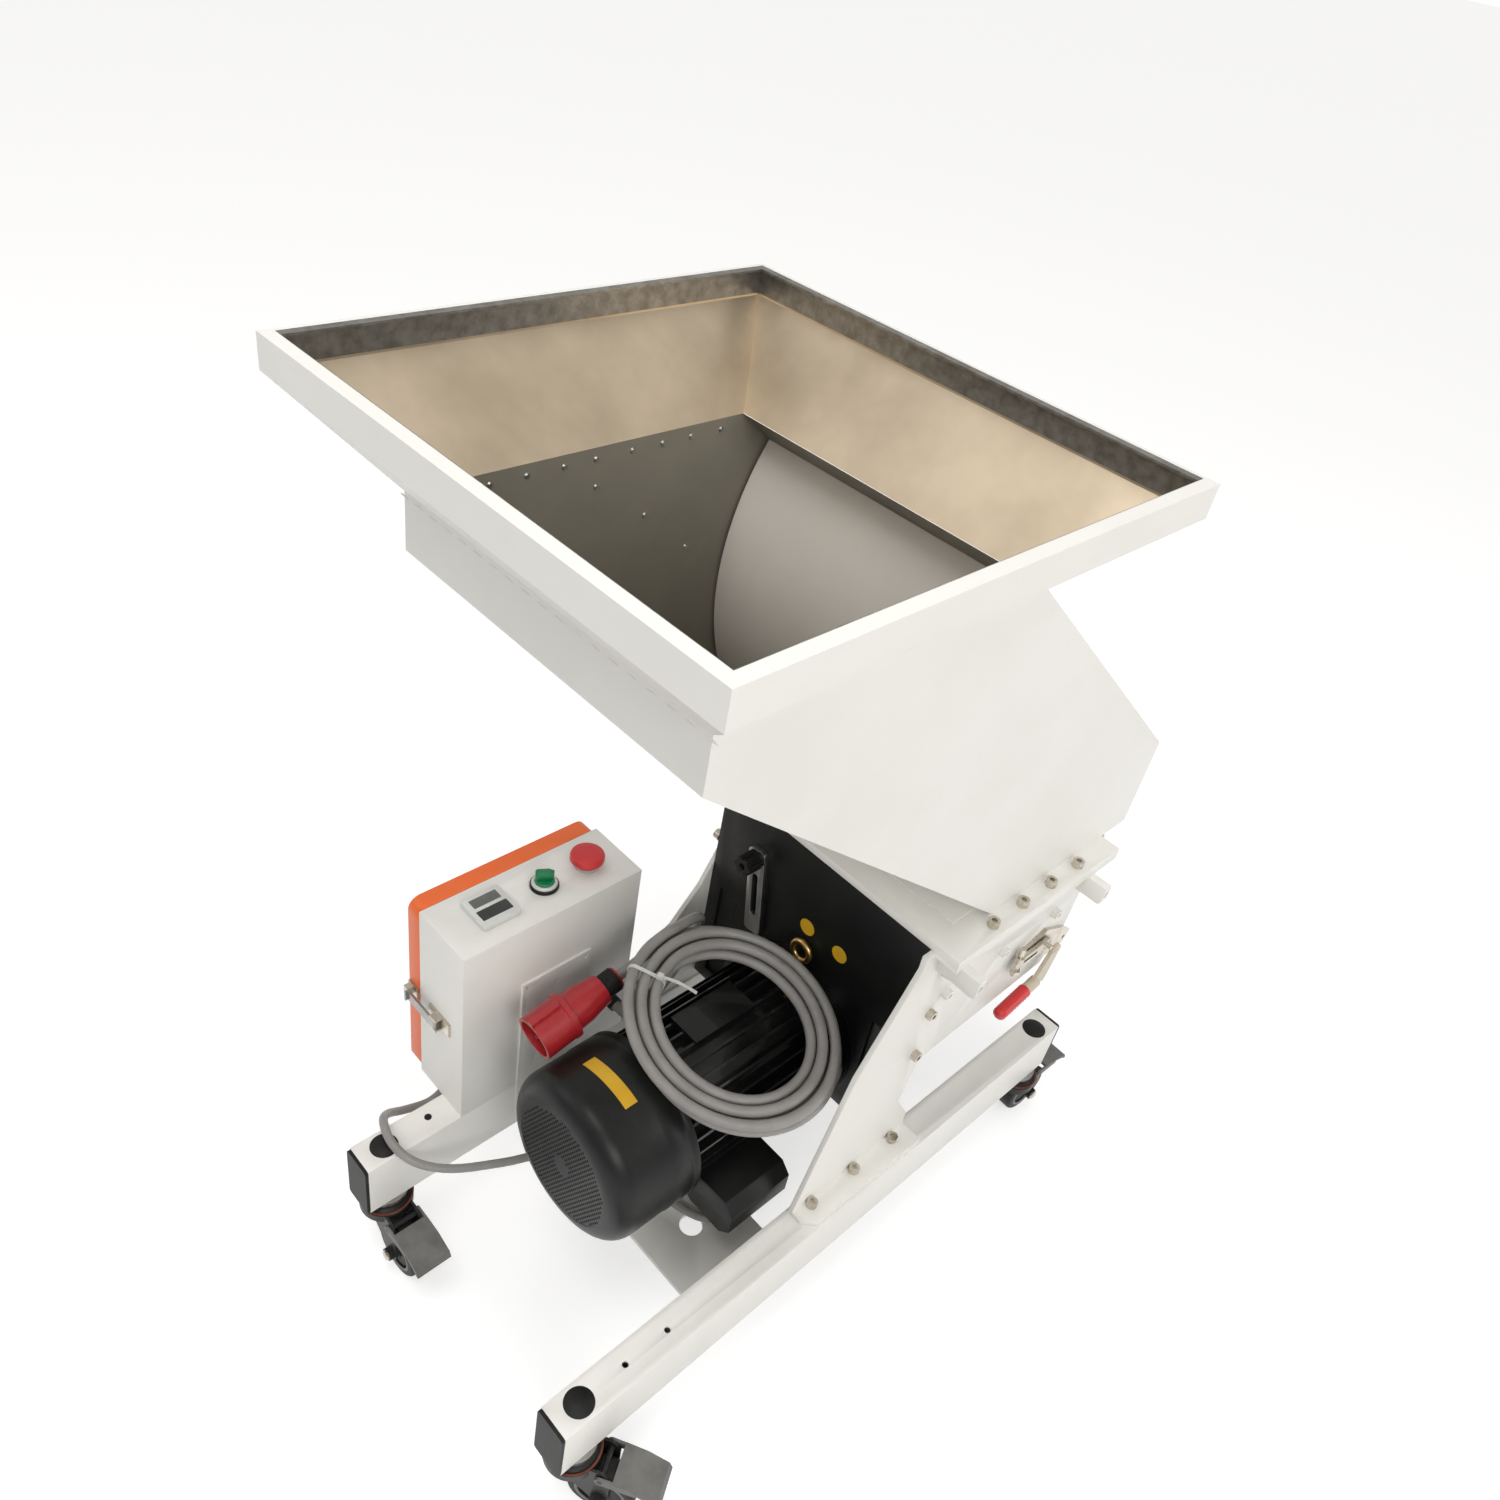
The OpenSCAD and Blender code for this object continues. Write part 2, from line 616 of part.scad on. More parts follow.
module motor_body() color(black) placed() difference() {
    union() {
        turn_y(body_y0) cylinder(r = motor_r, h = motor_back - motor_flange_t - body_y0 + eps);
        // Cooling fins stand round the body, and the top ones stop at the name plate.
        turn_y(cowl_y1 + fan_gap) for (k = [0:fin_n - 1]) rotate(k * 360 / fin_n)
            translate([motor_r - fin_t, -fin_t / 2, 0])
                cube([fin_r - motor_r + fin_t, fin_t, motor_back - motor_flange_t - cowl_y1 - fan_gap + eps]);
        // Seat ring that the fan cowl is screwed to
        turn_y(cowl_y1 - 2 * fan_gap) ring(2 * cowl_in, 2 * motor_r - 2 * fin_t, 2 * fan_gap);
        turn_y(motor_back - motor_flange_t) cylinder(r = fin_r + motor_flange_t, h = motor_flange_t);
        translate([-name_w / 2 + name_dx, name_y0, motor_z + motor_r - fin_t])
            cube([name_w, name_len, fin_r - motor_r + fin_t + cowl_wall]);
        for (a = [45:90:315]) rotate_bolt(a);
    }
    turn_y(body_y0 - 2 * eps) cylinder(d = motor_shaft_d + 2 * run_gap, h = motor_back - body_y0 + 4 * eps);
    translate([0, eye_y, eye_z - eye_od / 2 - 1.2 * eye_t]) cylinder(d = eye_t, h = 2 * eye_t);
}
name_w = 44;
name_len = 90;
name_y0 = -112;
name_dx = -10;

module rotate_bolt(a) turn_y(motor_back - motor_flange_t - cap_head_h) rotate(a)
    translate([fin_r + motor_flange_t - cap_head_d, 0, 0]) cylinder(d = cap_head_d, h = cap_head_h + eps, $fn = 6);

term_w = 62;
term_len = 90;
term_h = 56;
term_x0 = motor_r + 2;
term_y0 = -150;
term_z0 = 178;
term_cut = 14;

module terminal_box() color(black) placed() difference() {
    along_y(term_y0, term_len) polygon([[term_x0 - 2 * term_cut, term_z0 + term_cut], [term_x0, term_z0],
        [term_x0 + term_w - term_cut, term_z0], [term_x0 + term_w, term_z0 + term_cut],
        [term_x0 + term_w, term_z0 + term_h - term_cut], [term_x0 + term_w - term_cut, term_z0 + term_h],
        [term_x0 - term_cut, term_z0 + term_h]]);
    turn_y(term_y0 - eps) cylinder(r = fin_r + plate_fit, h = term_len + 2 * eps);
}

eye_od = 34;
eye_t = 8;
eye_y = gear_y0 - motor_flange_t / 2;
eye_z = motor_z + fin_r + motor_flange_t + eye_od / 2 - 0.5;

module lifting_eye() color(gold) placed() translate([0, eye_y, eye_z]) {
    rotate([90, 0, 0]) rotate_extrude() translate([eye_od / 2 - eye_t / 2, 0]) circle(eye_t / 2);
    translate([0, 0, -eye_od / 2 + 0.5]) cylinder(d = 1.5 * eye_t, h = eye_t / 2);
    translate([0, 0, -eye_od / 2 - eye_t]) cylinder(d = eye_t, h = 1.2 * eye_t);
}

bar_w = 26;
bar_len = 124;
bar_t = 8;
bar_x = -78;
bar_z0 = 358;
bar_lean = 8;
slot_len = 62;
slot_w = 9;
knob_d = 26;
knob_h = 24;

module bar_place() translate([bar_x, gear_y0, bar_z0]) rotate([0, -bar_lean, 0]) children();

module adjuster_bar() color(steel) placed() bar_place() {
    difference() {
        along_y(-bar_t, bar_t) translate([-bar_w / 2, 0]) round_rect(bar_w, bar_len, bar_w / 4);
        along_y(-bar_t - eps, bar_t + 2 * eps) translate([-slot_w / 2, bar_w]) round_rect(slot_w, slot_len, slot_w / 2 - eps / 10);
    }
    along_y(-bar_t - knob_h / 2, bar_t + knob_h / 2) translate([0, bar_len - bar_w / 2]) circle(d = slot_w);
}

module lock_knob() color(black) placed() bar_place() along_y(-bar_t - knob_h, knob_h - plate_fit)
    translate([0, bar_len - bar_w / 2]) difference() {
        union() {
            circle(d = knob_d * lobe_share);
            for (a = [0:60:300]) rotate(a) translate([knob_d * lobe_share / 2, 0]) circle(d = knob_d * (1 - lobe_share));
        }
        circle(d = slot_w + 2 * run_gap);
    }
lobe_share = 0.72;

// Hopper.
rim_y1 = rim_y0 + rim_len;
band_z = rim_z - band_h;
throat_y1 = throat_y0 + throat_len;
neck_h = 50;
rear_h = 118;
flange_top = top_z + flange_t;
chute_back = throat_y1 + (throat_z - flange_top - rear_h) / chute_k;
lip_w = 12;
hole_x = wall_x0;

module tray_shape(t, cut) intersection() {
    along_y(rim_y0 - cut, rim_len + 2 * cut) polygon([[-throat_x + t, throat_z - cut], [throat_x - t, throat_z - cut],
        [throat_x - t, throat_z], [rim_x - t, band_z], [rim_x - t, rim_z - (t > 0 ? sheet : 0)],
        [-rim_x + t, rim_z - (t > 0 ? sheet : 0)], [-rim_x + t, band_z], [-throat_x + t, throat_z]]);
    along_x(-rim_x, 2 * rim_x) polygon([[throat_y0 + t, throat_z - cut], [throat_y1 - t, throat_z - cut],
        [throat_y1 - t, throat_z], [rim_y1 - t, band_z], [rim_y1 - t, rim_z], [rim_y0 + t, rim_z],
        [rim_y0 + t, band_z], [throat_y0 + t, throat_z]]);
}

module hopper_tray() color(white) placed() difference() {
    tray_shape(0, 0);
    tray_shape(sheet, eps);
    // Mouth inside the folded lip
    translate([-rim_x + lip_w, rim_y0 + lip_w, rim_z - 2 * sheet]) cube([2 * (rim_x - lip_w), rim_len - 2 * lip_w, 3 * sheet]);
}

// Side view of the chute: upright neck, slope, low rear box over the flange.
module chute_profile(t, cut) let (
    side = t / sin(chute_slope),
    fold = t / cos(chute_slope) - chute_k * t,
    neck_z = throat_z - neck_h,
    foot_z = flange_top - cut,
    rear_z = flange_top + rear_h
) polygon([[throat_y0 + t, throat_z + cut], [throat_y0 + t, neck_z + fold],
    [throat_y0 + side + (neck_z - foot_z) / chute_k, foot_z], [chute_back - t, foot_z],
    [chute_back - t, rear_z - fold], [throat_y1 - side, throat_z], [throat_y1 - side, throat_z + cut]]);

module hopper_chute() color(white) placed() {
    difference() {
        along_x(-throat_x, 2 * throat_x) chute_profile(0, 0);
        along_x(-throat_x + sheet, 2 * (throat_x - sheet)) chute_profile(sheet, eps);
    }
    // Floor under the rear overhang
    translate([-throat_x, hopper_back - rear_t, flange_top]) cube([2 * throat_x, chute_back - hopper_back + rear_t, sheet]);
    // Lugs at the top of the rear slope
    for (x = [-tab_gap, tab_gap]) translate([x + tab_x, 0, 0]) along_x(-sheet, 2 * sheet)
        translate([throat_y1 + tab_h, throat_z - tab_h * chute_k - eps]) rotate(-chute_slope) square([2 * tab_h, tab_h]);
}
tab_gap = 16;
tab_h = 14;
tab_x = 90;

module hopper_flange() color(white) placed() difference() {
    translate([-flange_x, flange_y0, top_z]) cube([2 * flange_x, flange_len, flange_t]);
    translate([-hole_x, chamber_y0, top_z - eps]) cube([2 * hole_x, chamber_len, flange_t + 2 * eps]);
    for (sx = [-1, 1]) for (y = flange_ys()) translate([sx * flange_screw_x, y, top_z - eps])
        cylinder(d = cap_shank_d, h = flange_t + 2 * eps);
}

guard_cy = throat_y0 + throat_len + guard_r - 2.7;
guard_cz = throat_z - 174.7;
guard_from = 142;
guard_sweep = 68;

module splash_guard() color(steel) placed() intersection() {
    translate([-guard_x, guard_cy, guard_cz]) rotate([90, 0, 90]) rotate([0, 0, guard_from])
        rotate_extrude(angle = guard_sweep) translate([guard_r, 0]) square([sheet, 2 * guard_x]);
    along_x(-throat_x, 2 * throat_x) chute_profile(sheet + plate_fit, 0);
}

// Control box.
box_y1 = box_y0 + box_len;
door_x1 = box_x0 - door_gap;
door_x0 = door_x1 - door_t;
hinge_r = 5;
hinge_x = box_x0 - 4;
hinge_y = box_y1 + hinge_r + 1 * door_gap;
hinge_h = 16;
hinge_share = [0.16, 0.84];
leaf_t = 3;
leaf_len = 24;
hinge_pin_d = 5;
switch_x = box_x0 + box_depth / 2;
estop_share = 0.802521008403;
estop_y = box_y0 + estop_share * box_len;
selector_share = 0.554621848739;
selector_y = box_y0 + selector_share * box_len;
display_share = 0.264705882353;
display_y = box_y0 + display_share * box_len;
display_x = box_x0 + 40;
neck_d = 22;
gland_d = 20;
motor_gland_y = box_y0 + 18;
motor_gland_x = box_x0 + 22;
supply_gland_share = 0.873949579832;
supply_gland_y = box_y0 + supply_gland_share * box_len;
supply_gland_z = box_z0 + 70;

module control_box() color(white) placed() {
    difference() {
        translate([box_x0, box_y0, box_z0]) cube([box_depth, box_len, box_h]);
        translate([box_x0 - eps, box_y0 + box_wall, box_z0 + box_wall])
            cube([box_depth - box_wall + eps, box_len - 2 * box_wall, box_h - 2 * box_wall]);
        for (y = [selector_y, estop_y]) translate([switch_x, y, box_z1 - 2 * box_wall]) cylinder(d = neck_d, h = 3 * box_wall);
        translate([display_x - display_w * window_share / 2, display_y - display_w * window_share / 2, box_z1 - 2 * box_wall])
            cube([display_w * window_share, display_w * window_share, 3 * box_wall]);
        translate([motor_gland_x, motor_gland_y, box_z0 - eps]) cylinder(d = gland_d * gland_share, h = 2 * box_wall);
        translate([box_x1 - 2 * box_wall, supply_gland_y, supply_gland_z]) rotate([0, 90, 0])
            cylinder(d = gland_d * gland_share, h = 3 * box_wall);
    }
    // Hinge halves with their pins
    for (s = hinge_share) translate([0, 0, box_z0 + s * box_h]) difference() {
        union() {
            for (z = [-1.5, 0.5]) translate([0, 0, z * hinge_h]) {
                translate([hinge_x, hinge_y, 0]) cylinder(r = hinge_r, h = hinge_h);
                translate([hinge_x, box_y1, 0]) cube([leaf_len, leaf_t, hinge_h]);
                translate([hinge_x, box_y1, 0]) cube([leaf_t, hinge_r, hinge_h]);
            }
            translate([hinge_x, hinge_y, -1.5 * hinge_h]) cylinder(d = hinge_pin_d, h = 3 * hinge_h);
        }
        translate([hinge_x - hinge_r, box_y1 - hinge_r, -2 * hinge_h]) cube([hinge_r + box_x0 - hinge_x, hinge_r + 0 * eps, 4 * hinge_h]);
    }
}
window_share = 0.86;
gland_share = 0.7;

module box_door() color(orange) placed() {
    difference() {
        union() {
            along_x(door_x0, door_t) translate([box_y0, box_z0]) round_rect(box_len, box_h, door_r);
            for (s = hinge_share) translate([0, 0, box_z0 + s * box_h - hinge_h / 2 + plate_fit]) {
                translate([hinge_x, hinge_y, 0]) cylinder(r = hinge_r, h = hinge_h - 2 * plate_fit);
                translate([hinge_x - leaf_len / 2, box_y1 - eps, 0]) cube([leaf_len / 2, leaf_t + eps, hinge_h - 2 * plate_fit]);
            }
        }
        along_x(door_x0 + box_wall, door_t) translate([box_y0 + box_wall, box_z0 + box_wall])
            round_rect(box_len - 2 * box_wall, box_h - 2 * box_wall, door_r - box_wall);
        translate([hinge_x, hinge_y, box_z0]) cylinder(d = hinge_pin_d + 2 * run_gap, h = box_h);
    }
}

module box_bracket() color(white) placed() difference() {
    translate([box_x1, bracket_y0, rail_z0 + cross_t]) cube([bracket_t, bracket_len, bracket_h]);
    for (p = bracket_holes_share) translate([box_x1 - eps, bracket_y0 + p[0] * bracket_len, rail_z0 + cross_t + p[1] * bracket_h])
        rotate([0, 90, 0]) cylinder(d = cap_shank_d / 2, h = bracket_t + 2 * eps);
}
bracket_y0 = box_y0 + 76;
bracket_len = 95;
bracket_h = 256;
bracket_holes_share = [[0.06, 0.97], [0.5, 0.915], [0.92, 0.97]];

panel_t = 2;
panel_edge = 16;
stud_in = 24;
stud_back = 1.2;
panel_off = 8;
panel_x = box_x1 - box_wall - panel_off - panel_t;
rail_strip_h = 35;
contactor_w = 45;

module contactor_panel() color(grey) placed() {
    translate([panel_x, box_y0 + panel_edge, box_z0 + panel_edge])
        cube([panel_t, box_len - 2 * panel_edge, box_h - 2 * panel_edge]);
    for (y = [stud_in, box_len - stud_in - stud_back], z = [stud_in, box_h - stud_in - stud_back])
        translate([panel_x + panel_t - eps, box_y0 + y, box_z0 + z])
            rotate([0, 90, 0]) cylinder(d = stem_d / 2, h = panel_off + eps);
    for (s = [0.3, 0.68]) translate([panel_x, 0, box_z0 + s * box_h]) {
        translate([-panel_t * 3, box_y0 + 2 * panel_edge, -rail_strip_h / 2])
            cube([3 * panel_t + eps, box_len - 4 * panel_edge, rail_strip_h]);
        for (k = [0:2]) translate([-panel_t * 3 - contactor_w * 0.7, box_y0 + 2.5 * panel_edge + k * (contactor_w + 2 * panel_t), -contactor_w / 2])
            cube([contactor_w * 0.7 + eps, contactor_w, contactor_w * 1.2]);
    }
}

display_h = 6;

module display_module() color(black) placed() translate([display_x, display_y, box_z1]) {
    translate([-display_w / 2, -display_w / 2, 0]) difference() {
        linear_extrude(display_h) round_rect(display_w, display_w, display_h / 2);
        for (k = [0, 1]) translate([display_w * 0.12, display_w * (0.12 + 0.42 * k), display_h - panel_t])
            cube([display_w * 0.76, display_w * 0.34, panel_t + eps]);
    }
    translate([-display_w * window_share / 2 + plate_fit, -display_w * window_share / 2 + plate_fit, -display_w / 2])
        cube([display_w * window_share - 2 * plate_fit, display_w * window_share - 2 * plate_fit, display_w / 2 + eps]);
}

stem_d = 14;
bezel_h = 5;

module switch_bezels() color(grey) placed() for (y = [selector_y, estop_y]) translate([switch_x, y, box_z1]) {
    ring(bezel_d, stem_d + 2 * run_gap, bezel_h);
    translate([0, 0, -4 * bezel_h]) ring(neck_d - 2 * run_gap, stem_d + 2 * run_gap, 4 * bezel_h + eps);
    translate([0, 0, -3 * bezel_h - box_wall]) ring(bezel_d, neck_d - eps, 2 * bezel_h);
}

module selector_knob() color(green) placed() translate([switch_x, selector_y, box_z1]) {
    translate([0, 0, -4 * bezel_h]) cylinder(d = stem_d, h = 5 * bezel_h + plate_fit + eps);
    translate([0, 0, bezel_h + plate_fit]) {
        cylinder(d = neck_d, h = bezel_h);
        translate([-neck_d / 2 + eps, -stem_d / 4, bezel_h - eps]) cube([neck_d - 2 * eps, stem_d / 2, 2 * bezel_h]);
    }
}

estop_h = 16;

module estop_head() color(red) placed() translate([switch_x, estop_y, box_z1]) {
    translate([0, 0, -4 * bezel_h]) cylinder(d = stem_d, h = 5 * bezel_h + estop_travel + 2 * eps);
    translate([0, 0, bezel_h + estop_travel + eps]) intersection() {
        cylinder(d = estop_d, h = estop_h);
        translate([0, 0, estop_h - estop_d * 0.9]) sphere(estop_d * 0.9);
    }
}

latch_z = box_z0 + 134;
latch_h = 20;
latch_x = box_x0 + 42;
latch_y = box_y0 - 8;
latch_tip = door_x1 - door_t / 2;
latch_t = 3;

module latch_base() color(nickel) placed() {
    translate([latch_x - latch_h, box_y0 - latch_t, latch_z - latch_h / 2]) cube([2 * latch_h, latch_t, latch_h]);
    for (z = [-latch_h / 2, latch_h / 2 - latch_t]) translate([latch_x - pin_d, latch_y - pin_d / 2, latch_z + z])
        cube([2 * pin_d, box_y0 - latch_y + pin_d / 2 - eps, latch_t]);
    translate([latch_x, latch_y, latch_z - latch_h / 2]) cylinder(d = pin_d - 2, h = latch_h);
}

module latch_lever() color(steel) placed() difference() {
    union() {
        translate([latch_tip + door_gap, latch_y - pin_d / 2, latch_z - latch_h / 2 + latch_t + plate_fit])
            cube([latch_x - latch_tip - door_gap, latch_t, latch_h - 2 * latch_t - 2 * plate_fit]);
        translate([latch_x, latch_y, latch_z - latch_h / 2 + latch_t + plate_fit])
            cylinder(d = pin_d, h = latch_h - 2 * latch_t - 2 * plate_fit);
        translate([latch_tip + door_gap, latch_y - pin_d, latch_z - latch_h / 2 + latch_t + plate_fit])
            cube([latch_t, pin_d, latch_h - 2 * latch_t - 2 * plate_fit]);
    }
    translate([latch_x, latch_y, latch_z - latch_h]) cylinder(d = pin_d - 2 + 2 * run_gap, h = 2 * latch_h);
}

module latch_keeper() color(nickel) placed() {
    translate([door_x0 + panel_t, box_y0 - latch_t, latch_z - latch_h / 2]) cube([door_t - 2 * panel_t, latch_t, latch_h]);
    translate([door_x0 + panel_t, box_y0 - 3 * latch_t, latch_z - latch_h / 4]) cube([door_t / 2 - panel_t, 2 * latch_t + eps, latch_h / 2]);
}

gland_len = 18;

module gland(d) {
    cylinder(d = gland_d, h = gland_len / 3, $fn = 6);
    cylinder(d = gland_d - 2, h = gland_len);
    translate([0, 0, -3 * box_wall]) cylinder(d = gland_d * gland_share - 2 * run_gap, h = 3 * box_wall + eps);
}

module cable_glands() color(black) placed() {
    translate([motor_gland_x, motor_gland_y, box_z0]) rotate([180, 0, 0]) gland(lead_d);
    translate([box_x1, supply_gland_y, supply_gland_z]) rotate([0, 90, 0]) gland(cord_d);
}

// Toggle clamp.
arm_y = 300;
arm_z = 412;
lever_y = 322;
lever_z = 392;
arm_x = plate_x + clamp_t + 1;
lever_x = arm_x + clamp_t + 1;
arm_h = 18;
lever_w = 30;
lever_drop = 44;
spindle_d = 8;
spindle_len = 46;
grip_fall = 12;
bracket_pad = 20;
pin_out = 2 * clamp_t + 3;

module clamp_bracket() color(nickel) placed() {
    difference() {
        along_x(plate_x, clamp_t) union() {
            polygon([[arm_y - 2 * bracket_pad, arm_z - bracket_pad / 2], [arm_y, arm_z - bracket_pad],
                [lever_y, lever_z - bracket_pad], [lever_y + 2 * bracket_pad, lever_z - bracket_pad],
                [lever_y + 2.4 * bracket_pad, lever_z], [lever_y + bracket_pad, lever_z + bracket_pad],
                [arm_y, arm_z + bracket_pad], [arm_y - 2 * bracket_pad, arm_z + bracket_pad / 2]]);
        }
        for (p = [[arm_y - 1.4 * bracket_pad, arm_z], [lever_y + 1.8 * bracket_pad, lever_z - bracket_pad / 3]])
            translate([plate_x - eps, p[0], p[1]]) rotate([0, 90, 0]) cylinder(d = pin_d, h = clamp_t + 2 * eps);
    }
    for (p = [[arm_y, arm_z], [lever_y, lever_z]]) translate([plate_x + clamp_t - eps, p[0], p[1]]) rotate([0, 90, 0])
        cylinder(d = pin_d, h = pin_out);
}

module clamp_arm() color(nickel) placed() translate([arm_x, arm_y, arm_z]) {
    along_x(0, clamp_t) difference() {
        union() {
            circle(arm_h / 2);
            translate([-arm_len, -arm_h / 2]) square([arm_len, arm_h]);
            translate([-arm_len, 0]) circle(arm_h / 2);
        }
        circle(pin_d / 2 + run_gap);
        translate([-arm_len + arm_h / 2, -arm_h / 8]) square([arm_len / 2, arm_h / 4]);
    }
    translate([clamp_t / 2, -arm_len, -spindle_len * 0.4]) cylinder(d = spindle_d - 2 * eps, h = spindle_len);
    for (z = [-1, 1]) translate([clamp_t / 2, -arm_len, z * arm_h * 0.6 - arm_h / 6])
        cylinder(d = spindle_d * 1.6, h = arm_h / 3, $fn = 6);
}

module clamp_lever() color(beige) placed() translate([lever_x, lever_y, lever_z]) {
    along_x(0, clamp_t) difference() {
        union() {
            circle(lever_w / 3);
            polygon([[lever_w / 3, 0], [-lever_w / 3, 0], [-lever_w, -lever_drop], [0, -lever_drop - lever_w / 3]]);
        }
        circle(pin_d / 2 + run_gap);
    }
    translate([clamp_t / 2, -lever_w * 0.6, -lever_drop]) rotate([90 + grip_fall, 0, 0]) {
        cylinder(d = grip_d, h = grip_len);
        translate([0, 0, grip_len]) sphere(grip_d / 2);
    }
}

// Casters.
caster_list = [[-1, -1, near_left_turn], [1, -1, near_right_turn], [-1, 1, far_left_turn], [1, 1, far_right_turn]];
washer_h = 6;
dome_share = 0.9;
dome_top = rail_z0 - washer_h;
pin_top = 14;
leg_in = wheel_w / 2 + 2;
pedal_x = 38;
pedal_z = dome_top - dome_h + 2;
pedal_t = 4;
stem_nut = 22;
pedal_start = pedal_x + axle_d + leg_t;

module caster_at(i) placed() translate([caster_list[i][0] * rail_x, caster_list[i][1] * caster_y, 0])
    rotate(caster_list[i][2]) children();

module caster_stems() color(steel) for (i = [0:3]) caster_at(i) {
    translate([0, 0, dome_top - dome_h]) cylinder(d = kingpin_d, h = rail_z0 + rail_wall + pin_top - dome_top + dome_h);
    translate([0, 0, dome_top + plate_fit]) ring(dome_d * 0.8, kingpin_d - eps, washer_h - plate_fit);
    translate([0, 0, rail_z0 + rail_wall]) cylinder(d = stem_nut, h = pin_top - rail_wall, $fn = 6);
    translate([0, 0, dome_top - dome_h - leg_t]) cylinder(d = kingpin_d + 2 * leg_t, h = leg_t - plate_fit);
}

module fork() difference() {
    union() {
        translate([0, 0, dome_top - dome_h]) intersection() {
            cylinder(d = dome_d, h = dome_h);
            translate([0, 0, -dome_d * dome_share + dome_h]) sphere(dome_d * dome_share);
        }
        for (sy = [0, 1]) mirror([0, sy, 0]) along_y(leg_in, leg_t) union() {
            polygon([[-dome_d * 0.36, dome_top - dome_h / 2], [-dome_d * 0.36, dome_top - dome_h], [trail - axle_d, wheel_r],
                [trail + axle_d, wheel_r], [pedal_x + axle_d, pedal_z], [pedal_x, pedal_z + dome_h / 2], [0, dome_top - dome_h / 2]]);
            translate([trail, wheel_r]) circle(axle_d);
        }
        translate([trail, 0, wheel_r]) along_y(-leg_in - 2 * leg_t, 2 * leg_in + 4 * leg_t) circle(d = axle_d);
        translate([trail, 0, wheel_r]) for (y = [-leg_in - 3 * leg_t, leg_in + leg_t]) along_y(y, 2 * leg_t)
            circle(d = 1.8 * axle_d, $fn = 6);
        translate([pedal_x, 0, pedal_z]) along_y(-pedal_w / 2, pedal_w) circle(d = pin_d);
    }
    translate([0, 0, dome_top - 2 * dome_h]) cylinder(r = kingpin_d / 2 + run_gap, h = 3 * dome_h);
}

module wheel() translate([trail, 0, wheel_r]) rotate([90, 0, 0]) rotate_extrude() difference() {
    union() {
        translate([0, -wheel_w / 2]) square([wheel_r * 0.72, wheel_w]);
        translate([0, -wheel_w / 2 + tread_r]) square([wheel_r, wheel_w - 2 * tread_r]);
        translate([0, -wheel_w / 2]) square([wheel_r - tread_r, wheel_w]);
        for (y = [-wheel_w / 2 + tread_r, wheel_w / 2 - tread_r]) translate([wheel_r - tread_r, y]) circle(tread_r);
    }
    translate([-wheel_r, -wheel_w]) square([wheel_r + axle_d / 2 + run_gap, 2 * wheel_w]);
    for (y = [-wheel_w / 2 - eps, wheel_w / 2 - 3]) translate([axle_d, y]) square([wheel_r * 0.4, 3 + eps]);
}
tread_r = 5;

module pedal() difference() {
    union() {
        for (sy = [0, 1]) mirror([0, sy, 0]) along_y(pedal_w / 2 - leg_t, leg_t - plate_fit) union() {
            translate([pedal_x, pedal_z]) circle(pin_d);
            polygon([[pedal_x, pedal_z - pin_d], [pedal_x, pedal_z + pin_d], [wheel_r + trail, pedal_z + pedal_t],
                [wheel_r + trail, pedal_z - pedal_t]]);
        }
        along_y(-pedal_w / 2 + plate_fit, pedal_w - 2 * plate_fit) polygon([[pedal_start, pedal_z + pin_d - pedal_t], [pedal_start, pedal_z + pin_d], [wheel_r + trail, pedal_z + pedal_t], [pedal_reach - pedal_t, pedal_z - pedal_t],
            [pedal_reach, pedal_z - 3 * pedal_t], [pedal_reach - pedal_t, pedal_z - 3 * pedal_t],
            [pedal_reach - 2 * pedal_t, pedal_z - 2 * pedal_t], [wheel_r + trail, pedal_z]]);
    }
    translate([pedal_x, 0, pedal_z]) along_y(-pedal_w, 2 * pedal_w) circle(r = pin_d / 2 + run_gap);
}

module fork_near_left() color(black) caster_at(0) fork();
module fork_near_right() color(black) caster_at(1) fork();
module fork_far_left() color(black) caster_at(2) fork();
module fork_far_right() color(black) caster_at(3) fork();
module wheel_near_left() color(grey) caster_at(0) wheel();
module wheel_near_right() color(grey) caster_at(1) wheel();
module wheel_far_left() color(grey) caster_at(2) wheel();
module wheel_far_right() color(grey) caster_at(3) wheel();
module pedal_near_left() color(grey) caster_at(0) pedal();
module pedal_near_right() color(grey) caster_at(1) pedal();
module pedal_far_left() color(grey) caster_at(2) pedal();
module pedal_far_right() color(grey) caster_at(3) pedal();

// Cords.
coil_cx = 30;
coil_cy = -74;
coil_z0 = 386;
coil_fall_x = -0.22;
coil_fall_y = 0.02;
coil_inner_share = 0.7;
coil_rings = 24;
coil_sides = 6;
tube_sides = 8;
plug_x = -100;
plug_y = -137;
plug_z = 384;
plug_rise = 13;
plug_gland_d = 27;
plug_gland_len = 22;

function unit(v) = v / norm(v);
// One frame per point: the first normal is carried along the path.
function carry(n, t) = unit(n - (n * t) * t);
function tangents(p) = [for (i = [0:len(p) - 1]) unit(p[min(i + 1, len(p) - 1)] - p[max(i - 1, 0)])];
function normals(t, i = 0, n = [0, 0, 1], out = []) = i == len(t) ? out :
    let (m = carry(n, t[i])) normals(t, i + 1, m, concat(out, [m]));

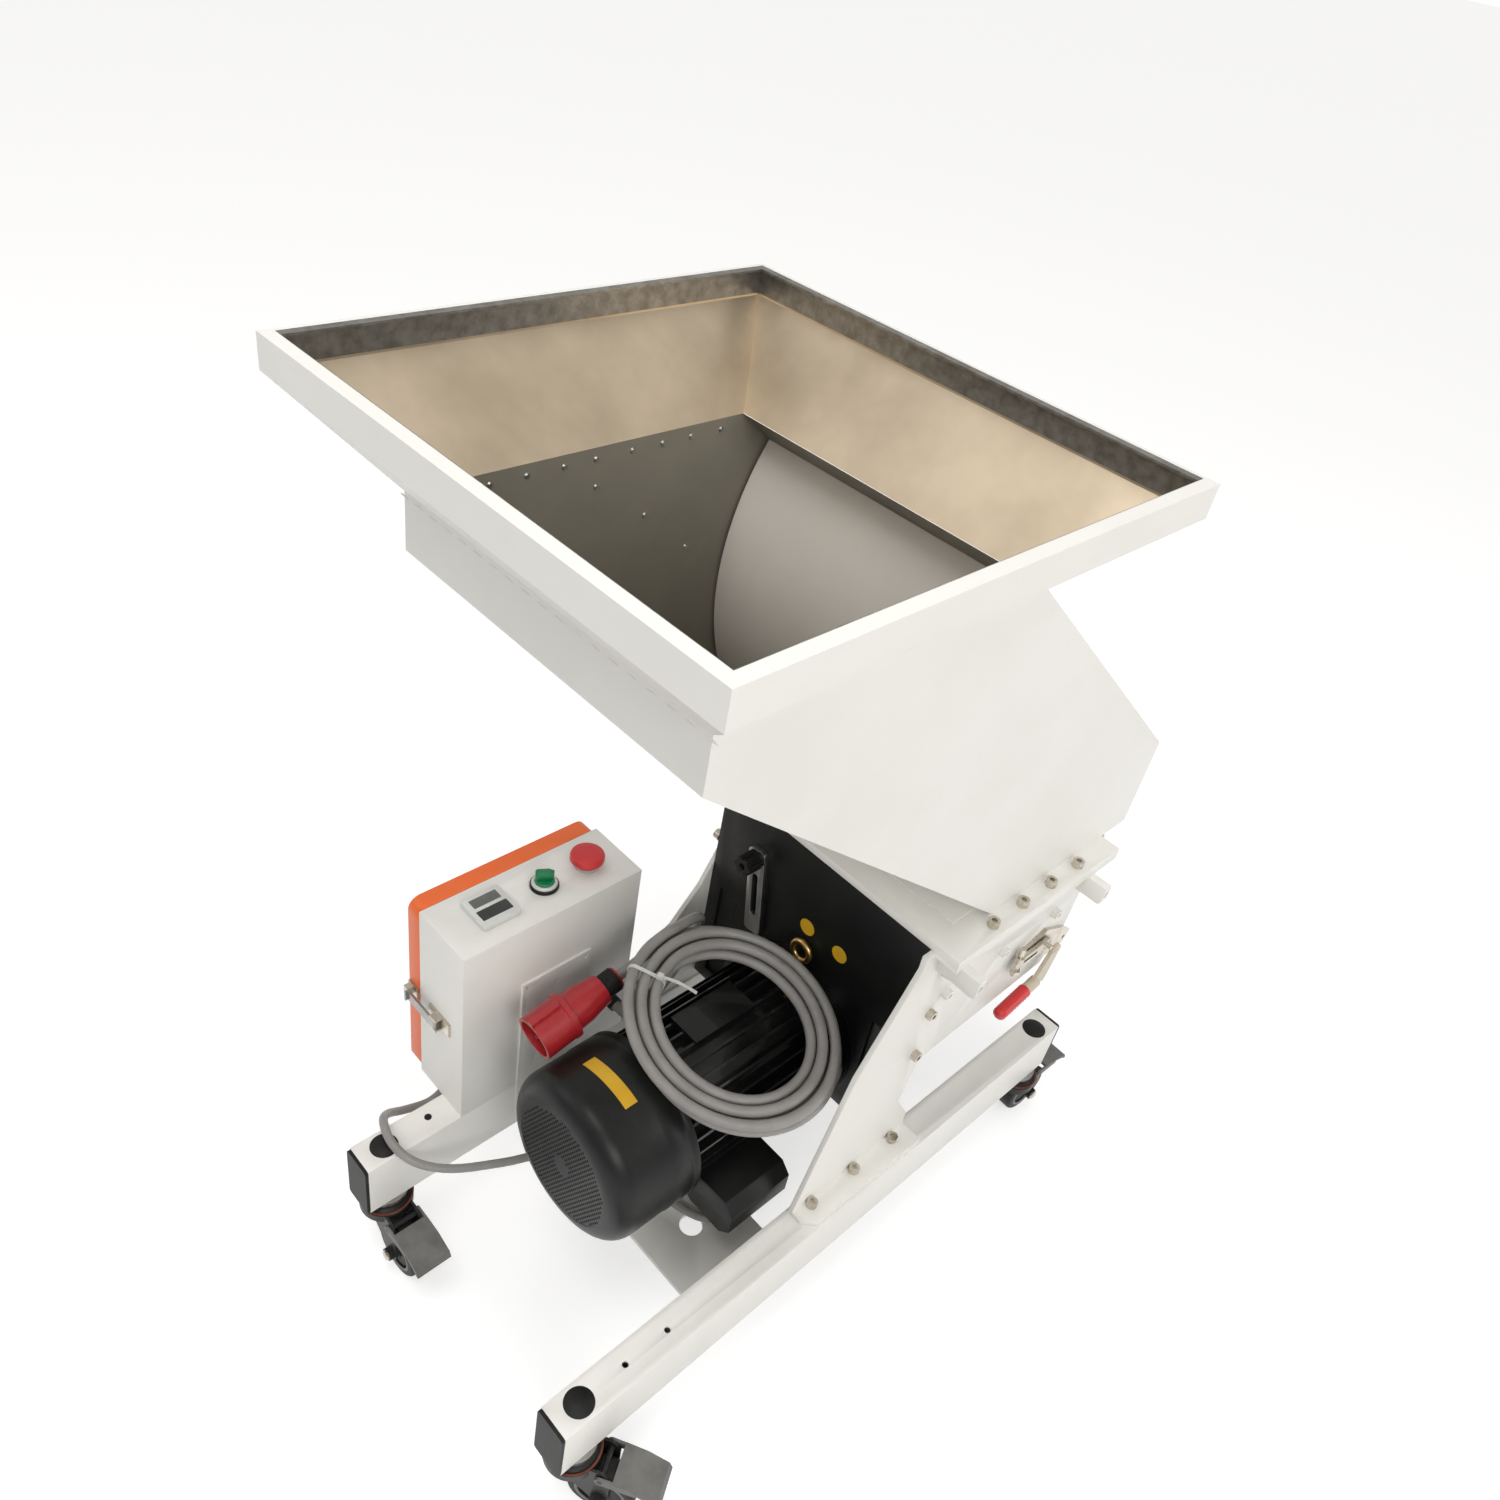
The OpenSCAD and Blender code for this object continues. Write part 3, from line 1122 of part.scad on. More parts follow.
module tube(p, d, sides) let (
    t = tangents(p),
    n = normals(t, 0, abs(t[0][2]) > 0.9 ? [1, 0, 0] : [0, 0, 1]),
    last = len(p) - 1,
    pts = [for (i = [0:last]) for (k = [0:sides - 1]) let (a = k * 360 / sides)
        p[i] + d / 2 * (cos(a) * n[i] + sin(a) * cross(t[i], n[i]))],
    walls = [for (i = [0:last - 1]) for (k = [0:sides - 1]) let (a = i * sides + k, b = i * sides + (k + 1) % sides)
        each [[a, a + sides, b], [b, a + sides, b + sides]]],
    caps = [for (k = [1:sides - 2]) each [[0, k, k + 1], [last * sides, last * sides + k + 1, last * sides + k]]]
) polyhedron(pts, concat(walls, caps));

// Smooth route through hand-chosen points.
function bend(a, b, c, d, s) = 0.5 * (2 * b + (c - a) * s + (2 * a - 5 * b + 4 * c - d) * s * s
    + (3 * b - a - 3 * c + d) * s * s * s);
// The first and last stretch stay straight, so the ends sit square on what they meet.
function route(p, steps) = concat([p[0]], [for (i = [1:len(p) - 3]) for (j = [0:steps - 1])
    bend(p[i - 1], p[i], p[i + 1], p[i + 2], j / steps)], [p[len(p) - 2], p[len(p) - 1]]);

function coil_layer(i) = let (half = coil_n * coil_rings / 2) max(0, min(1, (i - half + coil_rings / 4) / (coil_rings / 2)));
function coil_share(i) = 1 - (1 - coil_inner_share) * (1 - abs(2 * i / (coil_n * coil_rings) - 1));
function coil_point(i) = let (a = 180 - i * 360 / coil_rings, x = coil_cx + coil_rx * coil_share(i) * cos(a),
    y = coil_cy + coil_ry * coil_share(i) * sin(a)) [x, y, coil_z0 + coil_fall_x * x + coil_fall_y * y + coil_layer(i) * coil_step];
coil_last = coil_n * coil_rings;
coil_points = [for (i = [0:coil_last]) coil_point(i)];
end_run = [0, cord_d, 0];
coil_path = concat([coil_points[0] - end_run], coil_points, [coil_points[coil_last] + end_run]);
function near_gap(i) = min([for (j = [i + coil_rings / 2:coil_last]) norm(coil_points[i] - coil_points[j])]);
coil_gap = min([for (i = [0:coil_last - coil_rings / 2]) near_gap(i)]) - cord_d;
echo(least_coil_gap = coil_gap);

module supply_cord_coil() color(grey) placed() tube(coil_path, cord_d, coil_sides);

plug_tip = [plug_x, plug_y, plug_z];
plug_run = cord_d * [0, cos(plug_rise), sin(plug_rise)];
tail_route = [plug_tip, plug_tip + plug_run, [-98, -105, 396], coil_path[0] - end_run, coil_path[0]];
module supply_cord_tail() color(grey) placed() tube(route(tail_route, 2), cord_d, tube_sides);

gland_mouth = [box_x1 + gland_len, supply_gland_y, supply_gland_z];
lead_route = [coil_path[coil_last + 2], coil_path[coil_last + 2] + end_run, [-104, -14, 404], [-111, -4, 370],
    [-110, -26, 330], [-109, -60, 296], [-116, -86, 268], gland_mouth + [cord_d, 0, 0], gland_mouth];
module supply_cord_lead() color(grey) placed() tube(route(lead_route, 2), cord_d, tube_sides);

module supply_plug() color(red) placed() translate(plug_tip) rotate([90 + plug_rise, 0, 0]) {
    rotate_extrude() difference() {
        polygon([[0, 0], [plug_gland_d / 2, 0], [plug_gland_d / 2, plug_gland_len], [plug_body_d / 3, plug_gland_len],
            [plug_body_d * 0.42, plug_gland_len + plug_body_len * 0.3], [plug_body_d * 0.42, plug_gland_len + plug_body_len * 0.5],
            [plug_body_d / 2, plug_gland_len + plug_body_len * 0.55], [plug_body_d / 2, plug_gland_len + plug_body_len],
            [0, plug_gland_len + plug_body_len]]);
        translate([-eps, plug_gland_len + plug_body_len * 0.6]) square([plug_body_d / 2 - plug_wall + eps, plug_body_len]);
    }
    for (a = [0:120:240]) rotate(a) translate([plug_body_d / 5, 0, plug_gland_len + plug_body_len * 0.6 - eps])
        cylinder(d = pin_d - 1, h = plug_body_len * 0.35);
    translate([-plug_wall, plug_body_d / 2 - plug_wall / 2, plug_gland_len + plug_body_len * 0.6])
        cube([2 * plug_wall, 2 * plug_wall, plug_body_len * 0.4]);
}
plug_wall = 4;

motor_gland_mouth = [motor_gland_x, motor_gland_y, box_z0 - gland_len];
lead_drop = [0, 0, lead_d];
term_mouth = [term_x0 + term_w / 2, term_y0 + term_len / 2, term_z0];
motor_route = [motor_gland_mouth, motor_gland_mouth - lead_drop, [-227, -300, 148], [-228, -332, 158], [-219, -360, 184],
    [-198, -376, 204], [-168, -382, 204], [-142, -370, 190], [-120, -336, 172], [-100, -280, 156], [-80, -220, 142],
    [-30, -168, 126], [30, -146, 123], [80, -130, 124], [104, -112, 138], term_mouth - lead_drop, term_mouth];
module motor_lead() color(black) placed() tube(route(motor_route, 3), lead_d, tube_sides);

left_rail();
right_rail();
rail_plugs();
cross_plate();
left_side_plate();
right_side_plate();
cap_screws();
knife_screws();
lifting_lugs();
cutting_chamber();
bed_knives();
cutting_rotor();
sieve_screen();
gear_housing();
bearing_housing();
fan_cowl();
motor_fan();
motor_body();
terminal_box();
lifting_eye();
adjuster_bar();
lock_knob();
hopper_tray();
hopper_chute();
hopper_flange();
splash_guard();
control_box();
box_door();
box_bracket();
contactor_panel();
display_module();
switch_bezels();
selector_knob();
estop_head();
latch_base();
latch_lever();
latch_keeper();
cable_glands();
clamp_bracket();
clamp_arm();
clamp_lever();
caster_stems();
fork_near_left();
fork_near_right();
fork_far_left();
fork_far_right();
wheel_near_left();
wheel_near_right();
wheel_far_left();
wheel_far_right();
pedal_near_left();
pedal_near_right();
pedal_far_left();
pedal_far_right();
supply_cord_coil();
supply_cord_tail();
supply_cord_lead();
supply_plug();
motor_lead();
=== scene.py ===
# %% [markdown]
# # A plastic granulator, dressed in Blender
# The machine stands on two painted rails. A flared hopper feeds a rotor that is driven by a finned
# motor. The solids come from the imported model. This lesson gives them finishes, and adds the cords,
# the perforated fan guard, rivets and other detail that is easier to make here than in solids.

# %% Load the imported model
import math
import bpy
import bmesh
from mathutils import Matrix, Vector
from mathutils.bvhtree import BVHTree


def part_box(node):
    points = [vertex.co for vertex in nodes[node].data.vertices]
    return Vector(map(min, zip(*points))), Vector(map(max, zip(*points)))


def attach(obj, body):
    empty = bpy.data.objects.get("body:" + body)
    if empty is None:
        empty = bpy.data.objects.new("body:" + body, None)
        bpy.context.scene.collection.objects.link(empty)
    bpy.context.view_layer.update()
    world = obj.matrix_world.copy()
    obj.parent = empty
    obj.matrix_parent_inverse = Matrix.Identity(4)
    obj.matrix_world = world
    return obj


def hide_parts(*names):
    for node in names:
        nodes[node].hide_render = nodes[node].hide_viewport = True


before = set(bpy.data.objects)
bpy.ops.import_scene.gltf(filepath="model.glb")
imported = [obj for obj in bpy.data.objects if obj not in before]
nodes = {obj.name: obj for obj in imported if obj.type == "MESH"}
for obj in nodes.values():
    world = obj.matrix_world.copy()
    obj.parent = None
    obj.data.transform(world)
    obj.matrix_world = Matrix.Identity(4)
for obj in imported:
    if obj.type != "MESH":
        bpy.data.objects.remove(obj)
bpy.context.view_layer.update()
print("nodes loaded:", len(nodes))

# %% [markdown]
# The solids were drawn in millimetres round the middle of the two rails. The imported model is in
# metres, round the middle of the whole machine. One small function turns the first into the second,
# so every place below can be written as it was measured.

# %% From measured millimetres to the model's metres
MIDDLE = Vector((6.4366, 34.8487, 0.0))
UPWARD = (0, 0, 1)


def at(x, y, z):
    return (Vector((x, y, z)) - MIDDLE) / 1000.0


# %% [markdown]
# ## Camera
# The picture was taken by someone who stood to the right of the motor end and looked down into the
# hopper, with the camera a little tilted. The lens is a wide one, so near parts look larger.

# %% Camera
AZIMUTH, ELEVATION, ROLL = (math.radians(a) for a in (39.74, 37.55, 11.16))
STAND = at(563.5, -782.7, 1444.0)
LENS, SENSOR = 29.41, 36.0


def linked(name, data):
    """A new object in the scene that shows the data."""
    obj = bpy.data.objects.new(name, data)
    bpy.context.scene.collection.objects.link(obj)
    return obj


forward = Vector((-math.sin(AZIMUTH) * math.cos(ELEVATION), math.cos(AZIMUTH) * math.cos(ELEVATION),
                  -math.sin(ELEVATION)))
level = Vector((math.cos(AZIMUTH), math.sin(AZIMUTH), 0.0))
upright = level.cross(forward)
right = level * math.cos(ROLL) + upright * math.sin(ROLL)
up = upright * math.cos(ROLL) - level * math.sin(ROLL)
camera = linked("camera", bpy.data.cameras.new("camera"))
camera.matrix_world = Matrix.Translation(STAND) @ Matrix((right, up, -forward)).transposed().to_4x4()
camera.data.sensor_width = SENSOR
camera.data.lens = LENS
camera.data.clip_end = 50.0
bpy.context.scene.camera = camera
print("camera at", [round(v, 3) for v in STAND])

# %% [markdown]
# ## Cords
# The grey supply cord leaves the gland in the side of the control box, climbs to the motor and lies
# there in five turns, with its red plug beside it. The motor lead hangs from the gland under the
# box, loops over the rail and runs under the motor to the terminal box. A cord bends evenly, so both
# are one curve through the measured points, and the first and last stretch stay straight.

# %% Smooth routes
def smooth_route(points, steps):
    points = [Vector(p) for p in points]
    out = [points[0]]
    for i in range(1, len(points) - 2):
        a, b, c, d = points[i - 1:i + 3]
        for j in range(steps):
            s = j / steps
            out.append(0.5 * (2 * b + (c - a) * s + (2 * a - 5 * b + 4 * c - d) * s * s
                              + (3 * b - a - 3 * c + d) * s * s * s))
    return out + points[-2:]


def cord_curve(name, points, thickness):
    data = bpy.data.curves.new(name, "CURVE")
    data.dimensions = "3D"
    data.bevel_depth = thickness / 2000.0
    data.bevel_resolution = 5
    data.use_fill_caps = True
    spline = data.splines.new("POLY")
    spline.points.add(len(points) - 1)
    for knot, p in zip(spline.points, points):
        knot.co = (*at(*p), 1.0)
    spline.use_smooth = True
    length = sum((b - a).length for a, b in zip(points, points[1:])) / 1000.0
    print(name, "is", round(length, 2), "m long")
    return linked(name, data), length


# %% Supply cord: gland, climb, five turns, plug
CORD_THICKNESS = 12.5
TURN_POINTS, TURNS = 24, 5
COIL_X, COIL_Y, COIL_Z = 30, -74, 386
COIL_HALF_X, COIL_HALF_Y = 126, 120
NARROWING = 0.3
LEAN_X, LEAN_Y, LAYER_RISE = -0.22, 0.02, 13.6


def coil_point(i):
    """The turns narrow towards the middle of the cord, then widen again one layer higher."""
    a = math.radians(180 - 360 * i / TURN_POINTS)
    half = TURN_POINTS * TURNS / 2
    share = 1 - NARROWING * (1 - abs(i / half - 1))
    layer = max(0.0, min(1.0, (i - half + 6) / 12))
    x = COIL_X + COIL_HALF_X * share * math.cos(a)
    y = COIL_Y + COIL_HALF_Y * share * math.sin(a)
    return Vector((x, y, COIL_Z + LEAN_X * x + LEAN_Y * y + LAYER_RISE * layer))


coil = [coil_point(i) for i in range(TURN_POINTS * TURNS + 1)]
run = Vector((0, CORD_THICKNESS, 0))
climb = [(-143, -90, 260), (-130.5, -90, 260), (-116, -86, 268), (-109, -60, 296), (-110, -26, 330),
         (-111, -4, 370), (-104, -14, 404)]
plug_mouth = Vector((-100, -137, 384))
rise = math.radians(13)
plug_lead = CORD_THICKNESS * Vector((0, math.cos(rise), math.sin(rise)))
to_plug = [(-98, -105, 396), plug_mouth + plug_lead, plug_mouth]
supply_points = smooth_route(climb + [coil[-1] + run] + coil[::-1] + [coil[0] - run] + to_plug, 3)
supply_cord, supply_length = cord_curve("supply_cord", supply_points, CORD_THICKNESS)

# %% Motor lead: gland under the box, loop over the rail, terminal box
LEAD_THICKNESS = 10.0
lead_knots = [(-224, -280, 172), (-224, -280, 162), (-227, -300, 148), (-228, -332, 158), (-219, -360, 184),
              (-198, -376, 204), (-168, -382, 204), (-142, -370, 190), (-120, -336, 172), (-100, -280, 156),
              (-80, -220, 142), (-30, -168, 126), (30, -146, 123), (80, -130, 124), (104, -112, 138),
              (111, -105, 168), (111, -105, 178)]
lead_points = smooth_route(lead_knots, 5)
motor_cord, motor_cord_length = cord_curve("motor_cord", lead_points, LEAD_THICKNESS)

# %% [markdown]
# ## Finishes
# Every finish is built from a few effects that real surfaces share: an uneven tone, a fine grain,
# edges where the coat is rubbed thin, and dust that settles on upward faces. Each effect is one node
# group with named sockets, so that a change to the group changes every finish that uses it.

# %% Node group helpers
COLOUR, NUMBER, VECTOR = "NodeSocketColor", "NodeSocketFloat", "NodeSocketVector"


def new_group(name, inputs, outputs, tree_kind="ShaderNodeTree"):
    """A node group with named sockets, and the sockets inside it that bring values in and out."""
    tree = bpy.data.node_groups.new(name, tree_kind)
    for label, kind, value in inputs:
        socket = tree.interface.new_socket(name=label, in_out="INPUT", socket_type=kind)
        if value is not None:
            socket.default_value = value
    for label, kind in outputs:
        tree.interface.new_socket(name=label, in_out="OUTPUT", socket_type=kind)
    return tree, tree.nodes.new("NodeGroupInput").outputs, tree.nodes.new("NodeGroupOutput").inputs


def add(tree, kind, links=(), **settings):
    """A new node: links gives its inputs, as sockets or as plain values."""
    node = tree.nodes.new(kind)
    for key, value in settings.items():
        setattr(node, key, value)
    for socket, source in dict(links).items():
        if isinstance(source, bpy.types.NodeSocket):
            tree.links.new(source, node.inputs[socket])
        else:
            node.inputs[socket].default_value = source
    return node


# %% Short names for the commonest nodes
def maths(tree, operation, *values):
    return add(tree, "ShaderNodeMath", enumerate(values), operation=operation).outputs[0]


def vectors(tree, operation, *values):
    node = add(tree, "ShaderNodeVectorMath", enumerate(values), operation=operation)
    return node.outputs["Value" if operation in ("DOT_PRODUCT", "LENGTH") else "Vector"]


def height_of(tree, vector):
    return add(tree, "ShaderNodeSeparateXYZ", {0: vector}).outputs["Z"]


def noise(tree, place, scale, detail, roughness=0.5):
    return add(tree, "ShaderNodeTexNoise", {"Vector": place, "Scale": scale, "Detail": detail,
                                            "Roughness": roughness}).outputs["Fac"]


def ramp(tree, value, low, high):
    """Rises from 0 at low to 1 at high."""
    return add(tree, "ShaderNodeMapRange", {"Value": value, "From Min": low, "From Max": high}).outputs[0]


def mixed(tree, share, first, second):
    return add(tree, "ShaderNodeMix", {0: share, 6: first, 7: second}, data_type="RGBA").outputs[2]


def object_place(tree):
    return add(tree, "ShaderNodeTexCoord").outputs["Object"]


def surface_normal(tree):
    return add(tree, "ShaderNodeNewGeometry").outputs["Normal"]


# %% Effect 1: an uneven tone
tone_group, given, result = new_group(
    "Uneven tone",
    [("Light", COLOUR, (0.8, 0.8, 0.8, 1)), ("Dark", COLOUR, (0.7, 0.7, 0.7, 1)), ("Patch Scale", NUMBER, 8.0)],
    [("Colour", COLOUR)])
patches = noise(tone_group, object_place(tone_group), given["Patch Scale"], 4.0, 0.6)
blend = mixed(tone_group, ramp(tone_group, patches, 0.35, 0.68), given["Light"], given["Dark"])
tone_group.links.new(blend, result["Colour"])

# %% Effect 2: a fine grain, with the gloss that varies with it
grain_group, given, result = new_group(
    "Surface grain",
    [("Scale", NUMBER, 300.0), ("Stretch", VECTOR, (1, 1, 1)), ("Roughness", NUMBER, 0.4),
     ("Spread", NUMBER, 0.1)],
    [("Height", NUMBER), ("Roughness", NUMBER)])
along = vectors(grain_group, "MULTIPLY", object_place(grain_group), given["Stretch"])
fine = noise(grain_group, along, given["Scale"], 3.0, 0.55)
swing = maths(grain_group, "SUBTRACT", fine, 0.5)
gloss = maths(grain_group, "MULTIPLY_ADD", swing, given["Spread"], given["Roughness"])
grain_group.links.new(fine, result["Height"])
grain_group.links.new(gloss, result["Roughness"])


# %% Effect 3: edges rubbed thin
def cover(tree, given, result, mask, second):
    """Lays the second colour over the first where the mask is, as far as Amount says."""
    share = maths(tree, "MULTIPLY", mask, given["Amount"])
    tree.links.new(mixed(tree, share, given["Colour"], given[second]), result["Colour"])
    tree.links.new(share, result["Mask"])


wear_group, given, result = new_group(
    "Edge wear",
    [("Colour", COLOUR, (0.8, 0.8, 0.8, 1)), ("Worn", COLOUR, (0.5, 0.5, 0.5, 1)), ("Width", NUMBER, 0.002),
     ("Amount", NUMBER, 0.5)],
    [("Colour", COLOUR), ("Mask", NUMBER)])
rounded = add(wear_group, "ShaderNodeBevel", {"Radius": given["Width"]}, samples=4).outputs[0]
agree = vectors(wear_group, "DOT_PRODUCT", rounded, surface_normal(wear_group))
chips = noise(wear_group, object_place(wear_group), 120.0, 4.0)
mask = maths(wear_group, "MULTIPLY", ramp(wear_group, agree, 0.985, 0.80), ramp(wear_group, chips, 0.42, 0.6))
cover(wear_group, given, result, mask, "Worn")

# %% Effect 4: dust on upward faces
dust_group, given, result = new_group(
    "Settled dust",
    [("Colour", COLOUR, (0.8, 0.8, 0.8, 1)), ("Dust", COLOUR, (0.45, 0.43, 0.4, 1)), ("Amount", NUMBER, 0.3)],
    [("Colour", COLOUR), ("Mask", NUMBER)])
upward = height_of(dust_group, surface_normal(dust_group))
specks = noise(dust_group, object_place(dust_group), 45.0, 8.0, 0.7)
mask = maths(dust_group, "MULTIPLY", ramp(dust_group, upward, 0.2, 1.0), ramp(dust_group, specks, 0.4, 0.75))
cover(dust_group, given, result, mask, "Dust")
print("effects built:", len(bpy.data.node_groups))

# %% [markdown]
# One function joins the effects into a finish. Metal or paint, coat and sheen are plain numbers on
# the shader itself, and only what changes over the surface comes from a group.

# %% A finish from the effects
def feed(tree, node, **values):
    """Links or sets a node's inputs by name, with an underscore for each space."""
    for key, value in values.items():
        socket = node.inputs[key.replace("_", " ")]
        if isinstance(value, bpy.types.NodeSocket):
            tree.links.new(value, socket)
        else:
            socket.default_value = value


def use(tree, group, **values):
    node = tree.nodes.new("ShaderNodeGroup")
    node.node_tree = group
    feed(tree, node, **values)
    return node.outputs


def rgba(c):
    return (*c, 1.0)


def new_material(name):
    material = bpy.data.materials.new(name)
    material.use_nodes = True
    return material, material.node_tree, material.node_tree.nodes["Principled BSDF"]


def finish(name, light, dark, rough, metal=0.0, patch=8.0, grain=300.0, stretch=(1, 1, 1), spread=0.12, bump=0.1,
           worn=None, wear=0.4, dust=0.0, coat=0.0, specular=0.5):
    material, tree, shader = new_material(name)
    colour = use(tree, tone_group, Light=rgba(light), Dark=rgba(dark), Patch_Scale=patch)["Colour"]
    if worn:
        colour = use(tree, wear_group, Colour=colour, Worn=rgba(worn), Width=WEAR_WIDTH, Amount=wear)["Colour"]
    if dust:
        colour = use(tree, dust_group, Colour=colour, Dust=rgba(DUST_TONE), Amount=dust)["Colour"]
    surface = use(tree, grain_group, Scale=grain, Stretch=stretch, Roughness=rough, Spread=spread)
    relief = add(tree, "ShaderNodeBump", {"Strength": bump, "Distance": GRAIN_DEPTH, "Height": surface["Height"]})
    feed(tree, shader, Base_Color=colour, Roughness=surface["Roughness"], Normal=relief.outputs[0],
         Metallic=metal, Coat_Weight=coat, Specular_IOR_Level=specular)
    return material


WEAR_WIDTH, GRAIN_DEPTH = 0.0015, 0.0004
DUST_TONE = (0.42, 0.41, 0.38)

# %% [markdown]
# The rails, plates, box and the outside of the hopper carry the same warm white powder coat, with
# the faint dimples that such a coat has. The motor and gear housing are cast iron under a dark
# gloss paint. Screws are nickel plated, and blades and screen are bare tool steel.

# %% The machine's finishes
PAINT_LIGHT, PAINT_DARK = (0.83, 0.82, 0.78), (0.79, 0.775, 0.735)
powder = finish("white_powder", PAINT_LIGHT, PAINT_DARK, 0.4, patch=5.0, grain=420.0, bump=0.12,
                worn=(0.6, 0.58, 0.54), wear=0.25, dust=0.08)
casting = finish("black_casting", (0.0055, 0.0065, 0.006), (0.01, 0.0115, 0.0105), 0.36, patch=14.0, grain=150.0,
                 bump=0.14, worn=(0.08, 0.08, 0.075), wear=0.3, dust=0.015, specular=0.28)
motor_gloss = finish("motor_gloss", (0.0045, 0.0055, 0.005), (0.009, 0.0105, 0.0095), 0.17, patch=14.0,
                     grain=150.0, bump=0.12, spread=0.08, worn=(0.06, 0.06, 0.06), wear=0.3, dust=0.01, coat=0.3,
                     specular=0.45)
black = finish("black_plastic", (0.008, 0.008, 0.008), (0.014, 0.014, 0.014), 0.5, patch=30.0, grain=600.0,
               bump=0.12, worn=(0.05, 0.05, 0.05), wear=0.3, dust=0.015, specular=0.25)
fork_black = finish("fork_black", (0.008, 0.008, 0.009), (0.016, 0.0155, 0.015), 0.4, patch=30.0, grain=500.0,
                    bump=0.12, worn=(0.14, 0.13, 0.12), wear=0.45, dust=0.03, specular=0.3)
nickel = finish("nickel", (0.66, 0.61, 0.53), (0.5, 0.45, 0.38), 0.28, metal=1.0, patch=60.0, grain=500.0,
                bump=0.08, worn=(0.8, 0.76, 0.7), wear=0.4)
tool_steel = finish("tool_steel", (0.42, 0.42, 0.41), (0.3, 0.3, 0.29), 0.34, metal=1.0, patch=30.0, grain=90.0,
                    stretch=(1, 1, 9), bump=0.1, worn=(0.65, 0.65, 0.63), wear=0.5)
stainless = finish("stainless", (0.8, 0.75, 0.69), (0.72, 0.675, 0.615), 0.5, metal=0.05, patch=5.0, grain=60.0,
                   stretch=(2, 30, 30), bump=0.06, spread=0.15)
gold = finish("brass_gold", (0.72, 0.5, 0.2), (0.5, 0.33, 0.12), 0.3, metal=1.0, patch=60.0, bump=0.1,
              worn=(0.85, 0.68, 0.4), wear=0.4)
orange = finish("orange_paint", (0.86, 0.15, 0.02), (0.8, 0.13, 0.017), 0.38, patch=6.0, grain=420.0, bump=0.12,
                worn=(0.85, 0.35, 0.2), wear=0.3, dust=0.08)
fan_plastic = finish("fan_plastic", (0.02, 0.02, 0.02), (0.04, 0.04, 0.04), 0.5, patch=40.0, grain=500.0)
panel_grey = finish("panel_grey", (0.42, 0.42, 0.41), (0.36, 0.36, 0.35), 0.4, patch=30.0, grain=500.0,
                    worn=(0.6, 0.6, 0.6), wear=0.3)
green = finish("green_plastic", (0.0, 0.2, 0.07), (0.0, 0.16, 0.055), 0.25, patch=40.0, grain=500.0, bump=0.05,
               coat=0.3)
red = finish("red_plastic", (0.42, 0.02, 0.026), (0.36, 0.014, 0.02), 0.3, patch=40.0, grain=420.0, bump=0.1,
             worn=(0.55, 0.12, 0.12), wear=0.35, coat=0.2)
signal_red = finish("signal_red", (0.62, 0.028, 0.03), (0.55, 0.02, 0.024), 0.3, patch=40.0, grain=420.0,
                    bump=0.06, worn=(0.7, 0.2, 0.2), wear=0.3, coat=0.2)
beige = finish("beige_paint", (0.62, 0.55, 0.43), (0.54, 0.47, 0.36), 0.38, patch=40.0, grain=420.0, bump=0.12,
               worn=(0.4, 0.36, 0.3), wear=0.4)
rubber = finish("wheel_rubber", (0.014, 0.014, 0.014), (0.026, 0.025, 0.024), 0.55, patch=30.0, grain=320.0,
                bump=0.25, dust=0.1, specular=0.3)
pedal_grey = finish("pedal_grey", (0.11, 0.11, 0.105), (0.15, 0.145, 0.135), 0.5, patch=35.0, grain=500.0,
                    bump=0.2, worn=(0.3, 0.29, 0.27), wear=0.4, dust=0.15)
cord_grey = finish("cord_grey", (0.3, 0.29, 0.28), (0.25, 0.24, 0.23), 0.42, patch=30.0, grain=420.0, dust=0.06)

# %% [markdown]
# The hopper is painted outside and bare brushed stainless inside. Which side of the sheet a point
# is on follows from its normal: on the inside it points back towards the hopper's leaning axis. A
# group turns that into a mask, and the mask mixes the two finishes.

# %% Inside or outside of the hopper
side_group, given, result = new_group(
    "Inner side",
    [("Top", VECTOR, (0, 0, 1)), ("Bottom", VECTOR, (0, 0, 0))],
    [("Mask", NUMBER)])
place = object_place(side_group)
height, foot_height, top_height = (height_of(side_group, v) for v in (place, given["Bottom"], given["Top"]))
risen = add(side_group, "ShaderNodeMapRange", {"Value": height, "From Min": foot_height, "From Max": top_height},
            clamp=False)
axis = add(side_group, "ShaderNodeMix", {0: risen.outputs[0], 4: given["Bottom"], 5: given["Top"]},
           data_type="VECTOR", clamp_factor=False)
offset = vectors(side_group, "SUBTRACT", place, axis.outputs[1])
flat = vectors(side_group, "MULTIPLY", offset, (1, 1, 0))
facing = vectors(side_group, "DOT_PRODUCT", flat, surface_normal(side_group))
side_group.links.new(maths(side_group, "LESS_THAN", facing, -0.004), result["Mask"])

# %% [markdown]
# The tray's inner wall has a darker band under the rim, which is painted shade under the lip. The rim is a broad
# flat lip in the solid and a thin one on the real tray, so its inner part on the two far sides is dressed as wall
# and takes the same painted shade.

# %% The hopper's two finishes
# painted shade: the two tones of the darker band on the inner wall under the rim
RIM_SHADE_LIGHT, RIM_SHADE_DARK = (0.2, 0.19, 0.175), (0.34, 0.33, 0.31)
# the lip box is shifted towards the two far sides, so there the inner part of the lip takes the painted shade
# band
LIP_SHIFT, LIP_DEPTH = Vector((-0.0035, 0.0035, 0)), 0.0035
NO_RIM = 9.0


